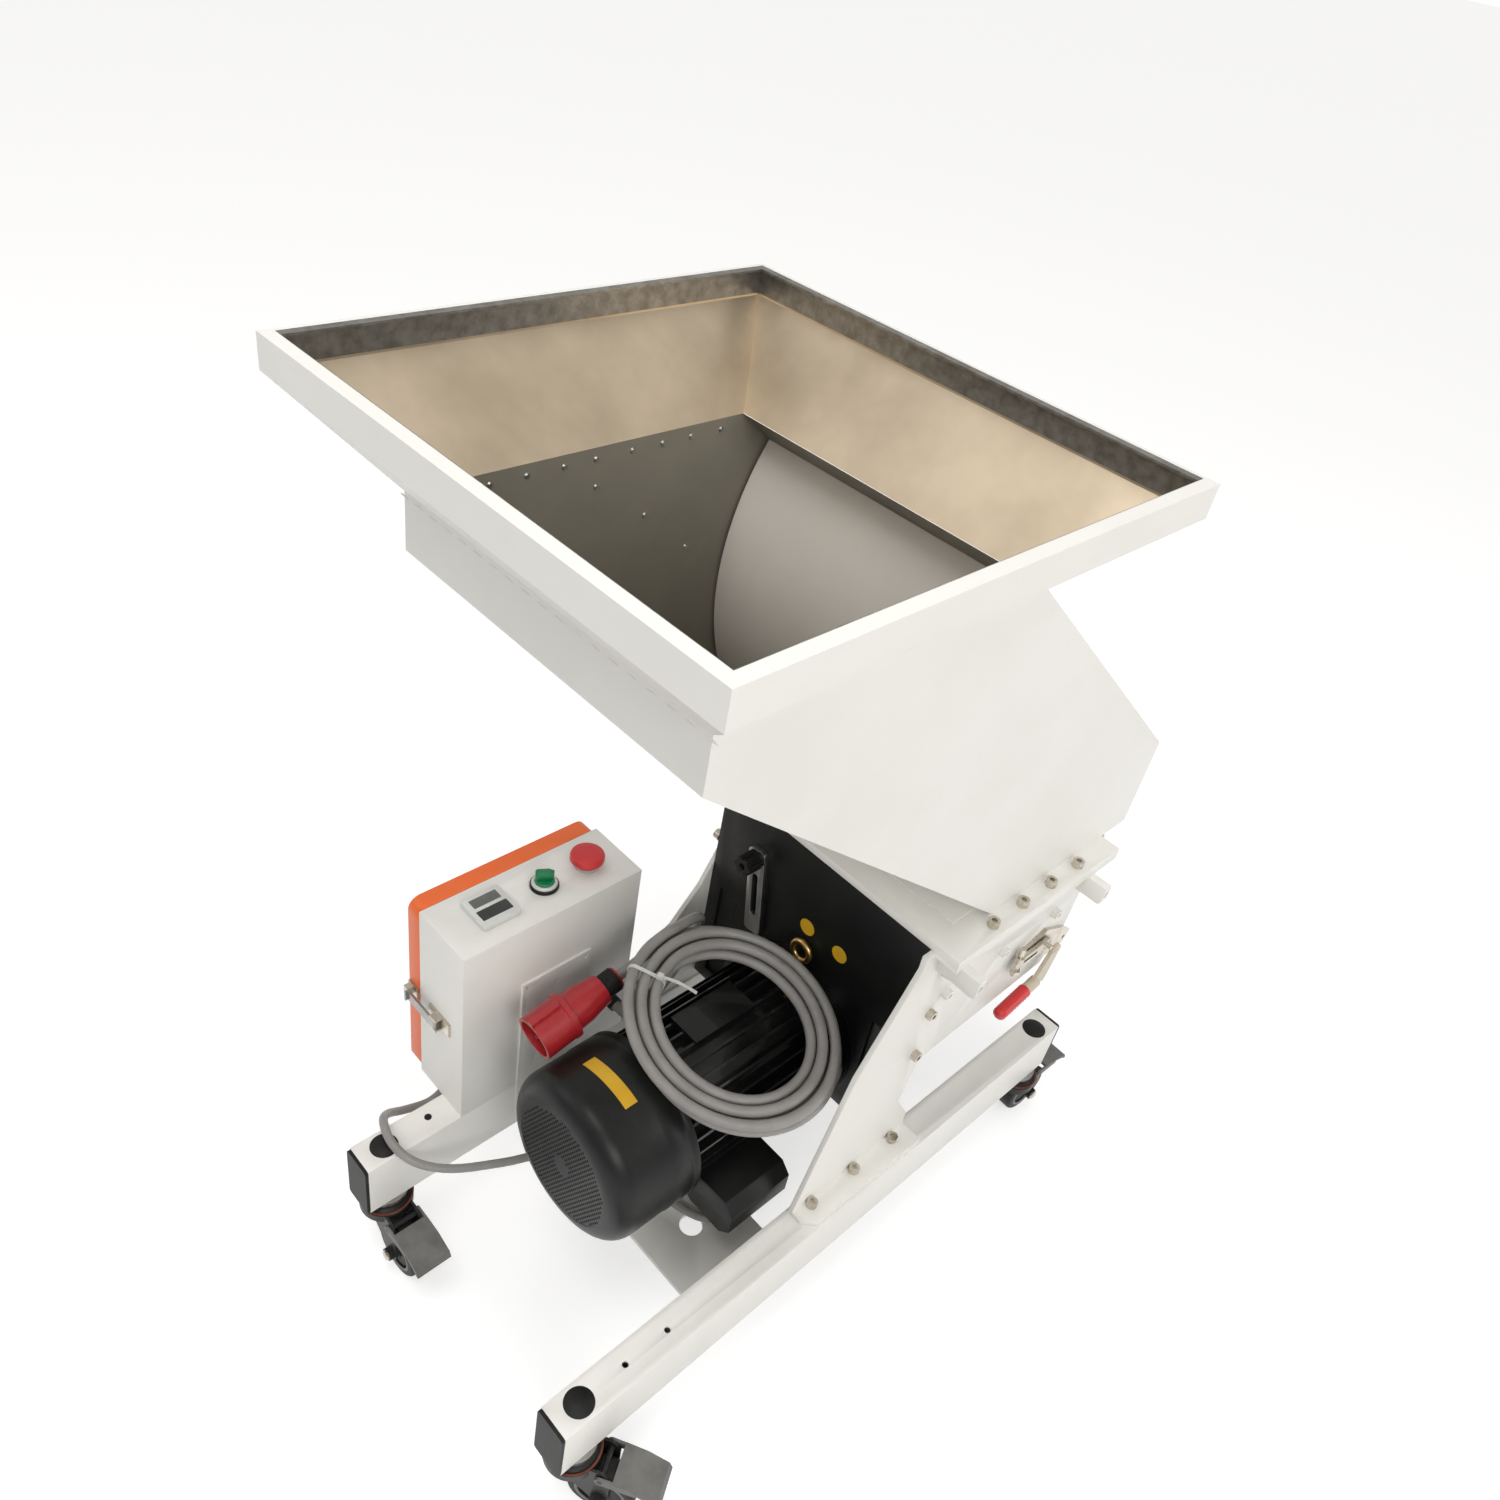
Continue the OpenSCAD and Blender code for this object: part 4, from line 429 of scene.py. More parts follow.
def hopper_finish(name, top_point, bottom_point, bare_light, bare_dark, bare_rough, bare_metal, rim_height=NO_RIM,
                  lip_half=(0.0, 0.0)):
    material, tree, shader = new_material(name)
    place = object_place(tree)
    lip = vectors(tree, "ABSOLUTE", vectors(tree, "SUBTRACT", place, top_point + LIP_SHIFT))
    lip = add(tree, "ShaderNodeSeparateXYZ", {0: lip}).outputs
    within = [maths(tree, "LESS_THAN", lip[axis], limit) for axis, limit in zip("XYZ", (*lip_half, LIP_DEPTH))]
    on_lip = maths(tree, "MULTIPLY", maths(tree, "MULTIPLY", within[0], within[1]), within[2])
    side = use(tree, side_group, Top=top_point, Bottom=bottom_point)
    mask = maths(tree, "MAXIMUM", side["Mask"], on_lip)
    paint = use(tree, tone_group, Light=rgba(PAINT_LIGHT), Dark=rgba(PAINT_DARK), Patch_Scale=5.0)
    bare = use(tree, tone_group, Light=rgba(bare_light), Dark=rgba(bare_dark), Patch_Scale=7.0)
    # painted shade under the rim, laid on the inner wall above rim_height
    rim_shade = use(tree, tone_group, Light=rgba(RIM_SHADE_LIGHT), Dark=rgba(RIM_SHADE_DARK), Patch_Scale=90.0)
    above = maths(tree, "GREATER_THAN", height_of(tree, place), rim_height)
    colour = mixed(tree, mask, paint["Colour"], mixed(tree, above, bare["Colour"], rim_shade["Colour"]))
    coat = use(tree, grain_group, Scale=420.0, Roughness=0.4, Spread=0.12)
    brushed = use(tree, grain_group, Scale=70.0, Stretch=(1.5, 22, 22), Roughness=bare_rough, Spread=0.25)
    gloss, grain = (add(tree, "ShaderNodeMix", {0: mask, 2: coat[key], 3: brushed[key]}).outputs[0]
                    for key in ("Roughness", "Height"))
    relief = add(tree, "ShaderNodeBump", {"Strength": 0.1, "Distance": GRAIN_DEPTH, "Height": grain})
    feed(tree, shader, Base_Color=colour, Roughness=gloss, Metallic=maths(tree, "MULTIPLY", mask, bare_metal),
         Normal=relief.outputs[0])
    return material


tray_finish = hopper_finish("hopper_tray_finish", at(0, -175.15, 1105), at(0, -175.15, 1000), (0.7, 0.585, 0.43),
                            (0.5, 0.405, 0.29), 0.36, 0.7, rim_height=1.079, lip_half=(0.2345, 0.2354))
# The chute's inside is dressed much darker than the tray's stainless: painted shade deep in the throat.
chute_finish_with_painted_shade = hopper_finish("hopper_chute_finish", at(0, -174, 1000), at(0, 210, 520), (0.26, 0.243, 0.2),
                             (0.21, 0.196, 0.16), 0.5, 0.1)
print("finishes so far:", len(bpy.data.materials))

# %% Finishes on the solids
FINISH_OF = {
    powder: "left_rail right_rail cross_plate left_side_plate right_side_plate knife_screws lifting_lugs "
            "hopper_flange control_box box_bracket",
    casting: "cutting_chamber gear_housing bearing_housing fan_cowl terminal_box",
    motor_gloss: "motor_body",
    black: "rail_plugs lock_knob cable_glands display_module",
    fork_black: "fork_near_left fork_near_right fork_far_left fork_far_right",
    nickel: "cap_screws latch_base latch_keeper clamp_bracket clamp_arm",
    tool_steel: "bed_knives cutting_rotor sieve_screen adjuster_bar latch_lever caster_stems",
    stainless: "splash_guard",
    gold: "lifting_eye",
    orange: "box_door",
    fan_plastic: "motor_fan",
    panel_grey: "contactor_panel switch_bezels",
    green: "selector_knob",
    red: "estop_head supply_plug",
    beige: "clamp_lever",
    rubber: "wheel_near_left wheel_near_right wheel_far_left wheel_far_right",
    pedal_grey: "pedal_near_left pedal_near_right pedal_far_left pedal_far_right",
    cord_grey: "supply_cord_coil supply_cord_tail supply_cord_lead motor_lead",
    tray_finish: "hopper_tray",
    chute_finish_with_painted_shade: "hopper_chute",
}
for material, names in FINISH_OF.items():
    for name in names.split():
        mesh = nodes[name].data
        mesh.materials.clear()
        mesh.materials.append(material)
bare_nodes = sorted(set(nodes) - set(" ".join(FINISH_OF.values()).split()))
print("solids without a finish:", bare_nodes)

# %% [markdown]
# ## Softer edges
# A folded or cut sheet has no perfectly sharp edge, and the small round on it is what catches the light. The
# solids arrive as loose triangles, so each gets a weld first. On the solids listed below, flat triangles are then
# joined and the edges bevelled, and on all of them the shading is split where two faces meet at an angle.

# %% Weld, bevel and shade the solids
def round_edges(obj, width, angle):
    """A bevel, width in mm, on the edges that are sharper than angle."""
    bevel = obj.modifiers.new("bevel", "BEVEL")
    bevel.width = width / 1000.0
    bevel.segments = 2
    bevel.limit_method = "ANGLE"
    bevel.angle_limit = math.radians(angle)


def soften(obj, width):
    for face in obj.data.polygons:
        face.use_smooth = True
    obj.modifiers.new("weld", "WELD").merge_threshold = 0.00001
    if width:
        join = obj.modifiers.new("join_flats", "DECIMATE")
        join.decimate_type = "DISSOLVE"
        join.angle_limit = math.radians(0.4)
        round_edges(obj, width, 40)
    obj.modifiers.new("edge_split", "EDGE_SPLIT").split_angle = math.radians(50 if width else 38)


EDGE_ROUND = {
    1.5: "left_rail right_rail",
    0.8: "left_side_plate right_side_plate hopper_flange control_box box_door lifting_lugs gear_housing",
    0.5: "cross_plate box_bracket terminal_box adjuster_bar clamp_lever bearing_housing cutting_chamber",
}
rounded_nodes = {name: width for width, names in EDGE_ROUND.items() for name in names.split()}
for name in nodes:
    soften(nodes[name], rounded_nodes.get(name, 0))
print("bevelled:", len(rounded_nodes), "solids")

# %% [markdown]
# ## Helpers for added pieces
# Turned parts come from a profile that is spun round an axis. A place on a solid is found by
# sending a ray at it, so that an added piece always sits on what carries it.

# %% Mesh helpers
def mesh_object(name, bm, material, body):
    bmesh.ops.remove_doubles(bm, verts=bm.verts, dist=1e-7)
    bmesh.ops.recalc_face_normals(bm, faces=bm.faces)
    mesh = bpy.data.meshes.new(name)
    bm.to_mesh(mesh)
    bm.free()
    return dress(linked(name, mesh), material, body)


def dress(obj, material, body, split=38):
    obj.data.materials.clear()
    obj.data.materials.append(material)
    if obj.type == "MESH":
        for face in obj.data.polygons:
            face.use_smooth = True
        if split:
            obj.modifiers.new("edge_split", "EDGE_SPLIT").split_angle = math.radians(split)
    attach(obj, body)
    return obj


def frame_to(origin, axis):
    return Matrix.Translation(origin) @ Vector(axis).to_track_quat("Z", "Y").to_matrix().to_4x4()


def spin_profile(bm, profile, origin, axis, steps=48):
    """Spins a closed profile of (radius, height) pairs in mm round an axis through origin."""
    turn = frame_to(origin, axis)
    rings = []
    for k in range(steps):
        a = 2 * math.pi * k / steps
        rings.append([bm.verts.new(turn @ (Vector((r * math.cos(a), r * math.sin(a), h)) / 1000.0))
                      for r, h in profile])
    count = len(profile)
    for k in range(steps):
        here, there = rings[k], rings[(k + 1) % steps]
        for i in range(count):
            j = (i + 1) % count
            if profile[i][0] == 0 and profile[j][0] == 0:
                continue
            corners = [here[i], there[i], there[j], here[j]]
            if profile[i][0] == 0:
                corners = [here[i], there[j], here[j]]
            elif profile[j][0] == 0:
                corners = [here[i], there[i], here[j]]
            bm.faces.new(corners)
    for i, (r, h) in enumerate(profile):
        if r == 0:
            pole = turn @ Vector((0, 0, h / 1000.0))
            bmesh.ops.pointmerge(bm, verts=[ring[i] for ring in rings], merge_co=pole)


def lathe(name, profile, origin, axis, material, body, steps=48):
    bm = bmesh.new()
    spin_profile(bm, profile, origin, axis, steps)
    return mesh_object(name, bm, material, body)


def slab(bm, corners, thickness, lift):
    """A flat plate: corners in order round its face, pushed out along lift by thickness (m)."""
    low = [bm.verts.new(c) for c in corners]
    high = [bm.verts.new(Vector(c) + Vector(lift) * thickness) for c in corners]
    bm.faces.new(low[::-1])
    bm.faces.new(high)
    for i in range(len(low)):
        j = (i + 1) % len(low)
        bm.faces.new((low[i], low[j], high[j], high[i]))


def skin(bm, rings, closed=False):
    """Joins rings of corners with faces, and caps both ends or closes the loop."""
    following = rings[1:] + rings[:1] if closed else rings[1:]
    for one, two in zip(rings, following):
        for i in range(len(one)):
            j = (i + 1) % len(one)
            bm.faces.new((one[i], two[i], two[j], one[j]))
    if not closed:
        bm.faces.new(rings[0][::-1])
        bm.faces.new(rings[-1])


# %% Rays that find a place on a solid
PHOTO_SIDE = 1500
trees = {}


def hit(node, origin, direction):
    """Where a ray meets a solid, and the normal there."""
    if node not in trees:
        mesh = nodes[node].data
        trees[node] = BVHTree.FromPolygons([v.co for v in mesh.vertices], [p.vertices for p in mesh.polygons])
    place, normal, _, _ = trees[node].ray_cast(Vector(origin), Vector(direction).normalized())
    if place is None:
        raise SystemExit(f"the ray misses {node}")
    return place, normal


def pixel_ray(px, py):
    """From the camera through a point of the picture."""
    x, y = (v / PHOTO_SIDE * SENSOR for v in (px - PHOTO_SIDE / 2, PHOTO_SIDE / 2 - py))
    return STAND, (right * x + up * y + forward * LENS).normalized()


# %% Cords get their finish, join the frame, and the solids they stand for are hidden
for cord, stands_for in ((supply_cord, ("supply_cord_coil", "supply_cord_tail", "supply_cord_lead")),
                         (motor_cord, ("motor_lead",))):
    cord.data.materials.append(cord_grey)
    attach(cord, "frame")
    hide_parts(*stands_for)

# %% [markdown]
# ## Fan guard
# The cowl over the fan is one pressed sheet: a round shoulder, a long skirt with a stepped rim, and
# a face with several hundred fine holes. The shell is spun from a profile. The face is a Geometry
# Nodes tree: a triangular lattice of points carries one small circle each, and filling the big
# circle together with the small ones leaves the holes open.

# %% Geometry Nodes helpers
GEOMETRY, COUNT = "NodeSocketGeometry", "NodeSocketInt"


def new_tree(name, inputs):
    inputs = [("Geometry", GEOMETRY, None)] + inputs + [("Material", "NodeSocketMaterial", None)]
    return new_group(name, inputs, [("Geometry", GEOMETRY)], "GeometryNodeTree")


def joined(tree, *parts):
    join = add(tree, "GeometryNodeJoinGeometry")
    for part in parts:
        tree.links.new(part.outputs[0], join.inputs[0])
    return join.outputs[0]


def end_tree(tree, given, result, geometry):
    real = add(tree, "GeometryNodeRealizeInstances", {0: geometry})
    painted = add(tree, "GeometryNodeSetMaterial", {0: real.outputs[0], "Material": given["Material"]})
    tree.links.new(painted.outputs[0], result[0])


def run_tree(name, tree, seed_mesh, values):
    """Runs a tree on a mesh and returns the result as a plain mesh object."""
    seed = linked(name + "_seed", seed_mesh)
    modifier = seed.modifiers.new("nodes", "NODES")
    modifier.node_group = tree
    for item in tree.interface.items_tree:
        if item.item_type == "SOCKET" and item.in_out == "INPUT" and item.name in values:
            modifier[item.identifier] = values[item.name]
    depsgraph = bpy.context.evaluated_depsgraph_get()
    made = bpy.data.meshes.new_from_object(seed.evaluated_get(depsgraph), depsgraph=depsgraph)
    bpy.data.objects.remove(seed)
    print(name, "has", len(made.polygons), "faces")
    return linked(name, made)


# %% A perforated disc
disc_tree, given, result = new_tree("Perforated disc", [
    ("Disc Radius", NUMBER, 0.07), ("Plain Centre", NUMBER, 0.015), ("Edge Margin", NUMBER, 0.003),
    ("Pitch", NUMBER, 0.005), ("Hole Radius", NUMBER, 0.0015), ("Thickness", NUMBER, 0.0016),
    ("Columns", COUNT, 33)])
columns = given["Columns"]
points = add(disc_tree, "GeometryNodePoints", {"Count": maths(disc_tree, "MULTIPLY", columns, columns)})
index = add(disc_tree, "GeometryNodeInputIndex").outputs[0]
row = maths(disc_tree, "FLOOR", maths(disc_tree, "DIVIDE", index, columns))
column = maths(disc_tree, "MODULO", index, columns)
shifted = maths(disc_tree, "MULTIPLY_ADD", maths(disc_tree, "MODULO", row, 2.0), 0.5, column)
half = maths(disc_tree, "DIVIDE", columns, 2.0)
across = maths(disc_tree, "SUBTRACT", shifted, half)
down = maths(disc_tree, "MULTIPLY", maths(disc_tree, "SUBTRACT", row, half), math.sqrt(0.75))
lattice = add(disc_tree, "ShaderNodeCombineXYZ", {0: across, 1: down}).outputs[0]
spaced = add(disc_tree, "ShaderNodeVectorMath", {0: lattice, "Scale": given["Pitch"]}, operation="SCALE")
laid = add(disc_tree, "GeometryNodeSetPosition", {0: points.outputs[0], "Position": spaced.outputs[0]})

# %% Its holes, cut out and given a thickness
reach = vectors(disc_tree, "LENGTH", add(disc_tree, "GeometryNodeInputPosition").outputs[0])
limit = maths(disc_tree, "SUBTRACT", given["Disc Radius"], given["Edge Margin"])
outside = maths(disc_tree, "GREATER_THAN", reach, limit)
central = maths(disc_tree, "LESS_THAN", reach, given["Plain Centre"])
unwanted = maths(disc_tree, "MAXIMUM", outside, central)
kept = add(disc_tree, "GeometryNodeDeleteGeometry", {0: laid.outputs[0], 1: unwanted})
hole, rim = (add(disc_tree, "GeometryNodeCurvePrimitiveCircle", {"Resolution": sides, "Radius": given[radius]})
             for sides, radius in ((10, "Hole Radius"), (96, "Disc Radius")))
holes = add(disc_tree, "GeometryNodeInstanceOnPoints", {0: kept.outputs[0], "Instance": hole.outputs[0]})
real_holes = add(disc_tree, "GeometryNodeRealizeInstances", {0: holes.outputs[0]})
filled = add(disc_tree, "GeometryNodeFillCurve", {0: joined(disc_tree, rim, real_holes)})
thick = add(disc_tree, "GeometryNodeExtrudeMesh", {0: filled.outputs[0], "Offset Scale": given["Thickness"],
                                                   "Individual": False})
back = add(disc_tree, "GeometryNodeFlipFaces", {0: filled.outputs[0]})
welded = add(disc_tree, "GeometryNodeMergeByDistance", {0: joined(disc_tree, thick, back), "Distance": 0.00001})
end_tree(disc_tree, given, result, welded.outputs[0])

# %% The cowl's face
MOTOR_Z = 272
ALONG_MOTOR = (0, 1, 0)
grille = run_tree("fan_grille", disc_tree, bpy.data.meshes.new("seed"), {
    "Disc Radius": 0.0735, "Plain Centre": 0.013, "Edge Margin": 0.0035, "Pitch": 0.0052, "Hole Radius": 0.00165,
    "Thickness": 0.0016, "Columns": 35, "Material": casting})
grille.data.transform(frame_to(at(0, -279.6, MOTOR_Z), ALONG_MOTOR))
dress(grille, casting, "frame")

# %% The cowl's shell
FACE_R, COWL_R, SHOULDER, SHEET = 72, 100, 26, 1.9
shell = [(FACE_R, 0)]
for a in range(10, 91, 10):
    turn = math.radians(a)
    shell.append((FACE_R + (COWL_R - FACE_R) * math.sin(turn), SHOULDER * (1 - math.cos(turn))))
shell += [(100, 72), (101, 74), (101, 98), (100.4, 99), (100.4, 103), (101, 104), (101, 110)]
inner = [(r - SHEET if h > 3 else r, h + (SHEET if h < 20 else 0)) for r, h in shell[::-1]]
inner[0] = (99.0, 110)
cowl = lathe("fan_cowl_shell", shell + inner, at(0, -280, MOTOR_Z), ALONG_MOTOR, casting, "frame",
             96)
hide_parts("fan_cowl")
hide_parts("fan_cowl")

# %% [markdown]
# ## Heads on points
# Rivets and small screws all repeat one head at given places. One tree does them all: each vertex
# of a seed mesh becomes a head that stands along the direction given. A head is a cone with a
# smaller top, which has few faces.

# %% A tree that sets heads on points
head_tree, given, result = new_tree("Heads on points", [
    ("Head Radius", NUMBER, 0.003), ("Top Share", NUMBER, 0.7), ("Head Height", NUMBER, 0.0015),
    ("Turn", VECTOR, (0, 0, 0)), ("Sides", COUNT, 16)])
top_radius = maths(head_tree, "MULTIPLY", given["Head Radius"], given["Top Share"])
head = add(head_tree, "GeometryNodeMeshCone", {
    "Vertices": given["Sides"], "Radius Top": top_radius, "Radius Bottom": given["Head Radius"],
    "Depth": given["Head Height"]})
dots = add(head_tree, "GeometryNodeMeshToPoints", {0: given["Geometry"]})
set_heads = add(head_tree, "GeometryNodeInstanceOnPoints", {0: dots.outputs[0], "Instance": head.outputs[0],
                                                            "Rotation": given["Turn"]})
end_tree(head_tree, given, result, set_heads.outputs[0])
HEAD_SINK = 0.0002


def heads(name, places, normal, radius, height, material):
    seed_points = bpy.data.meshes.new(name + "_points")
    normal = Vector(normal).normalized()
    seed_points.from_pydata([p - normal * HEAD_SINK for p in places], [], [])
    turn = normal.to_track_quat("Z", "Y").to_euler()
    obj = run_tree(name, head_tree, seed_points, {"Head Radius": radius, "Head Height": height, "Top Share": 0.65,
                                                  "Turn": tuple(turn), "Sides": 16, "Material": material})
    return dress(obj, material, "frame", 30)


# %% Rivets on the liner wall
LOOKING_LEFT = (-1, 0, 0)
liner = [(-275, 990), (-240, 990), (-203, 990), (-170, 990), (-131, 990), (-97, 990), (-64, 990), (-28, 990),
         (-168, 964), (-109, 923), (-53, 876), (4, 827)]
on_wall = [hit("hopper_chute", at(0, y, z), LOOKING_LEFT) for y, z in liner]
heads("liner_rivets", [p for p, _ in on_wall], on_wall[0][1], 0.003, 0.0016, tool_steel)

# %% Screws on the box bracket
bracket = [(-217, 366), (-176, 351), (-135, 366)]
on_bracket = [hit("control_box", at(-100, y, z), LOOKING_LEFT) for y, z in bracket]
heads("bracket_screws", [p for p, _ in on_bracket], (1, 0, 0), 0.004, 0.0024, nickel)

# %% [markdown]
# ## Controls on the box
# The display is a pale bezel with two dark windows that run along the box. The stop button is a
# flat red mushroom on a red collar, and the selector is a green knob with a raised grip in a black
# and white ring. Small moulded parts like these are plates and turned shapes with rounded edges.

# %% Rounded plates
white_plastic = finish("white_plastic", (0.68, 0.69, 0.66), (0.62, 0.63, 0.6), 0.35, patch=40.0, grain=600.0,
                       bump=0.05)
window_dark = finish("display_window", (0.012, 0.015, 0.013), (0.02, 0.024, 0.021), 0.1, patch=20.0, grain=200.0,
                     bump=0.0, coat=0.5)
window_grey = finish("display_window_grey", (0.12, 0.13, 0.12), (0.09, 0.1, 0.09), 0.15, patch=60.0, grain=200.0,
                     bump=0.0, coat=0.5)


def rounded_first(obj, width, angle):
    """Rounds the edges of a finished piece before its shading is split."""
    round_edges(obj, width, angle)
    obj.modifiers.move(1, 0)


def plate_piece(name, centre, size, corner, material, edge):
    """An upright slab with rounded corners: size is (x, y, z) in mm, centre is the middle of its foot."""
    bm = bmesh.new()
    corners = []
    for sx, sy, start in ((1, 1, 0), (-1, 1, 90), (-1, -1, 180), (1, -1, 270)):
        for a in (0, 30, 60, 90):
            t = math.radians(start + a)
            x = sx * (size[0] / 2 - corner) + corner * math.cos(t)
            y = sy * (size[1] / 2 - corner) + corner * math.sin(t)
            corners.append(centre + Vector((x, y, 0)) / 1000)
    slab(bm, corners, size[2] / 1000, UPWARD)
    obj = mesh_object(name, bm, material, "frame")
    rounded_first(obj, edge, 50)
    return obj


# %% Display
BOX_TOP, SWITCH_X, DISPLAY_Y = 460, -203.5, -235
bezel_place = at(-206, DISPLAY_Y, BOX_TOP)
bezel = plate_piece("display_bezel", bezel_place, (48, 48, 7), 4, white_plastic, 1.2)
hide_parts("display_module")
print("display at", [round(v, 3) for v in bezel_place])
for name, x, size, material in (("display_window_far", -217, (13, 34, 0.8), window_grey),
                                ("display_window_near", -198, (15, 38, 0.8), window_dark)):
    plate_piece(name, at(x, DISPLAY_Y, BOX_TOP + 6.6), size, 0.8, material, 0.1)

# %% Stop button: a hollow head whose stem slides in the collar
stop_place = at(SWITCH_X, -107, BOX_TOP + 5)
stop_profile = [(0, -3), (6.4, -3), (6.4, 8.6), (16.6, 8.6), (16.6, 4.3), (18.4, 4.3), (20, 5.6), (20, 9.5),
                (19.2, 11.6), (16.5, 13.0), (10, 13.9), (0, 14.2)]
collar_profile = [(8.3, 0), (15.6, 0), (15.6, 2.4), (13.4, 4.0), (8.3, 4.0)]
stop_button = lathe("stop_button_head", stop_profile, stop_place, UPWARD, signal_red, "stop_button",
                    64)
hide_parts("estop_head")
lathe("stop_collar", collar_profile, stop_place, UPWARD, red, "frame", 64)
print("stop button at", [round(v, 3) for v in stop_place])

# %% Selector: two rings and a knob with a pointed grip
SELECTOR_Y, RING_LIFT = -166, 0.1
ring_place = at(SWITCH_X, SELECTOR_Y, BOX_TOP + RING_LIFT)
black_ring = [(12.6, 0), (16.4, 0), (16.4, 3.4), (15.6, 4.6), (12.6, 4.6)]
white_ring = [(11.3, 4.9), (14.4, 4.9), (14.4, 6.2), (13.2, 7.4), (11.3, 7.4)]
lathe("selector_ring_black", black_ring, ring_place, UPWARD, black, "frame", 64)
lathe("selector_ring_white", white_ring, ring_place, UPWARD, white_plastic, "frame", 64)

bm = bmesh.new()
knob_profile = [(0, 5.4), (11.0, 5.4), (11.0, 9.6), (10.2, 10.6), (0, 10.6)]
spin_profile(bm, knob_profile, at(SWITCH_X, SELECTOR_Y, BOX_TOP), UPWARD, 48)
HALF_W, HALF_L, GRIP_FOOT, GRIP_H = 3.6, 10.8, 10.4, 12.6
GRIP_TURN = math.radians(-30)
outline = [(-HALF_W, 2 - HALF_L), (2 - HALF_W, -HALF_L), (HALF_W - 2, -HALF_L), (HALF_W, 2 - HALF_L),
           (HALF_W, HALF_L - 6), (0, HALF_L), (-HALF_W, HALF_L - 6)]
turned = [(x * math.cos(GRIP_TURN) - y * math.sin(GRIP_TURN), x * math.sin(GRIP_TURN) + y * math.cos(GRIP_TURN))
          for x, y in outline]
slab(bm, [at(SWITCH_X + x, SELECTOR_Y + y, BOX_TOP + GRIP_FOOT) for x, y in turned], GRIP_H / 1000, UPWARD)
selector = mesh_object("selector_grip", bm, green, "selector")
rounded_first(selector, 0.9, 40)
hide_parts("selector_knob")
print("selector has", len(selector.data.polygons), "faces")

# %% [markdown]
# ## Plug and cable tie
# The plug is a red moulded body with a black screwed gland where the cord goes in. A white tie
# holds the turns of the cord together, with its square head and its loose tail.

# %% Plug gland and collar
plug_axis = Vector((0, -math.cos(rise), -math.sin(rise)))
RIB_R, GROOVE_R, RIB_PITCH = 14.6, 13.9, 3.4
gland_profile = [(6.6, 0.4), (12.4, 0.4), (13.6, 2.2)]
for k in range(5):
    h = RIB_PITCH * k
    gland_profile += [(RIB_R, 3 + h), (RIB_R, 4.8 + h), (GROOVE_R, 5.3 + h), (GROOVE_R, 5.9 + h)]
gland_profile += [(14.9, 20.6), (14.9, 22.6), (6.6, 22.6)]
lathe("plug_gland", gland_profile, at(*plug_mouth), plug_axis, black, "frame", 40)
collar_profile = [(26.4, 68), (28.2, 69), (28.2, 75), (26.4, 76)]
lathe("plug_collar", collar_profile, at(*plug_mouth), plug_axis, red, "frame", 64)
print("points in the gland's profile:", len(gland_profile))

# %% Where the cable tie lies: a tight line round the turns, on their left
TIE_STEP, TIE_PARTS = 22, 72
tie_angle = math.radians(180 - 360 * TIE_STEP / TURN_POINTS)
outward = Vector((math.cos(tie_angle), math.sin(tie_angle), 0))
beside = Vector((-math.sin(tie_angle), math.cos(tie_angle), 0))
held_turns = coil[TIE_STEP::TURN_POINTS]
foot = held_turns[0]
flat_points = [((p - foot).dot(outward), (p - foot).z) for p in held_turns]
part = 2 * math.pi / TIE_PARTS
reach = [max(u * math.cos(part * k) + w * math.sin(part * k) for u, w in flat_points) + CORD_THICKNESS / 2
         for k in range(TIE_PARTS)]
tight_line = []
for k in range(TIE_PARTS):
    a = part * k
    slope = (reach[(k + 1) % TIE_PARTS] - reach[k - 1]) / (2 * part)
    u = reach[k] * math.cos(a) - slope * math.sin(a)
    tight_line.append((u, reach[k] * math.sin(a) + slope * math.cos(a), a))
print("turns in the tie:", len(held_turns))


# %% Cable tie: band, head and tail
def tie_point(u, w, side):
    return at(*(foot + outward * u + Vector((0, 0, w)) + beside * side))


def corners_of(low, high, half_width):
    return ((low, -half_width), (high, -half_width), (high, half_width), (low, half_width))


bm = bmesh.new()
skin(bm, [[bm.verts.new(tie_point(u + lift * math.cos(a), w + lift * math.sin(a), side))
           for lift, side in corners_of(0.2, 1.4, 2.2)] for u, w, a in tight_line], closed=True)
top_u, top_w, _ = max(tight_line, key=lambda q: q[1] - 0.25 * q[0])
slab(bm, [tie_point(top_u + u, top_w + 1.1, v) for u, v in corners_of(-3.6, 3.6, 3.4)], 0.0046, UPWARD)
tail = []
for t in range(14):
    u, w = top_u - 3 - 3.2 * t, top_w + 3.0 + 3.0 * math.sin(t / 4.4)
    tail.append([bm.verts.new(tie_point(u, w + lift, side + 0.5 * t)) for lift, side in corners_of(0, 1.0, 1.9)])
skin(bm, tail)
mesh_object("cable_tie", bm, white_plastic, "frame")

# %% [markdown]
# ## Yellow films
# A plain yellow strip lies on the cowl and two plain yellow discs on the gear housing. Each is a thin
# film on the solid it is stuck to. A ray from the camera finds where the strip's corners are.

# %% Discs
yellow = finish("yellow_film", (0.72, 0.42, 0.02), (0.66, 0.37, 0.018), 0.35, patch=40.0, grain=600.0, bump=0.03)
disc_profile = [(0, 0), (11, 0), (11, 0.25), (0, 0.25)]
for k, x in enumerate((47, -5)):
    foot, way = hit("gear_housing", at(x, -20, 424), ALONG_MOTOR)
    lathe(f"round_film_{k}", disc_profile, foot, (0, -1, 0), yellow, "frame")
    print("the housing faces", [round(v, 2) for v in way], "under disc", k)

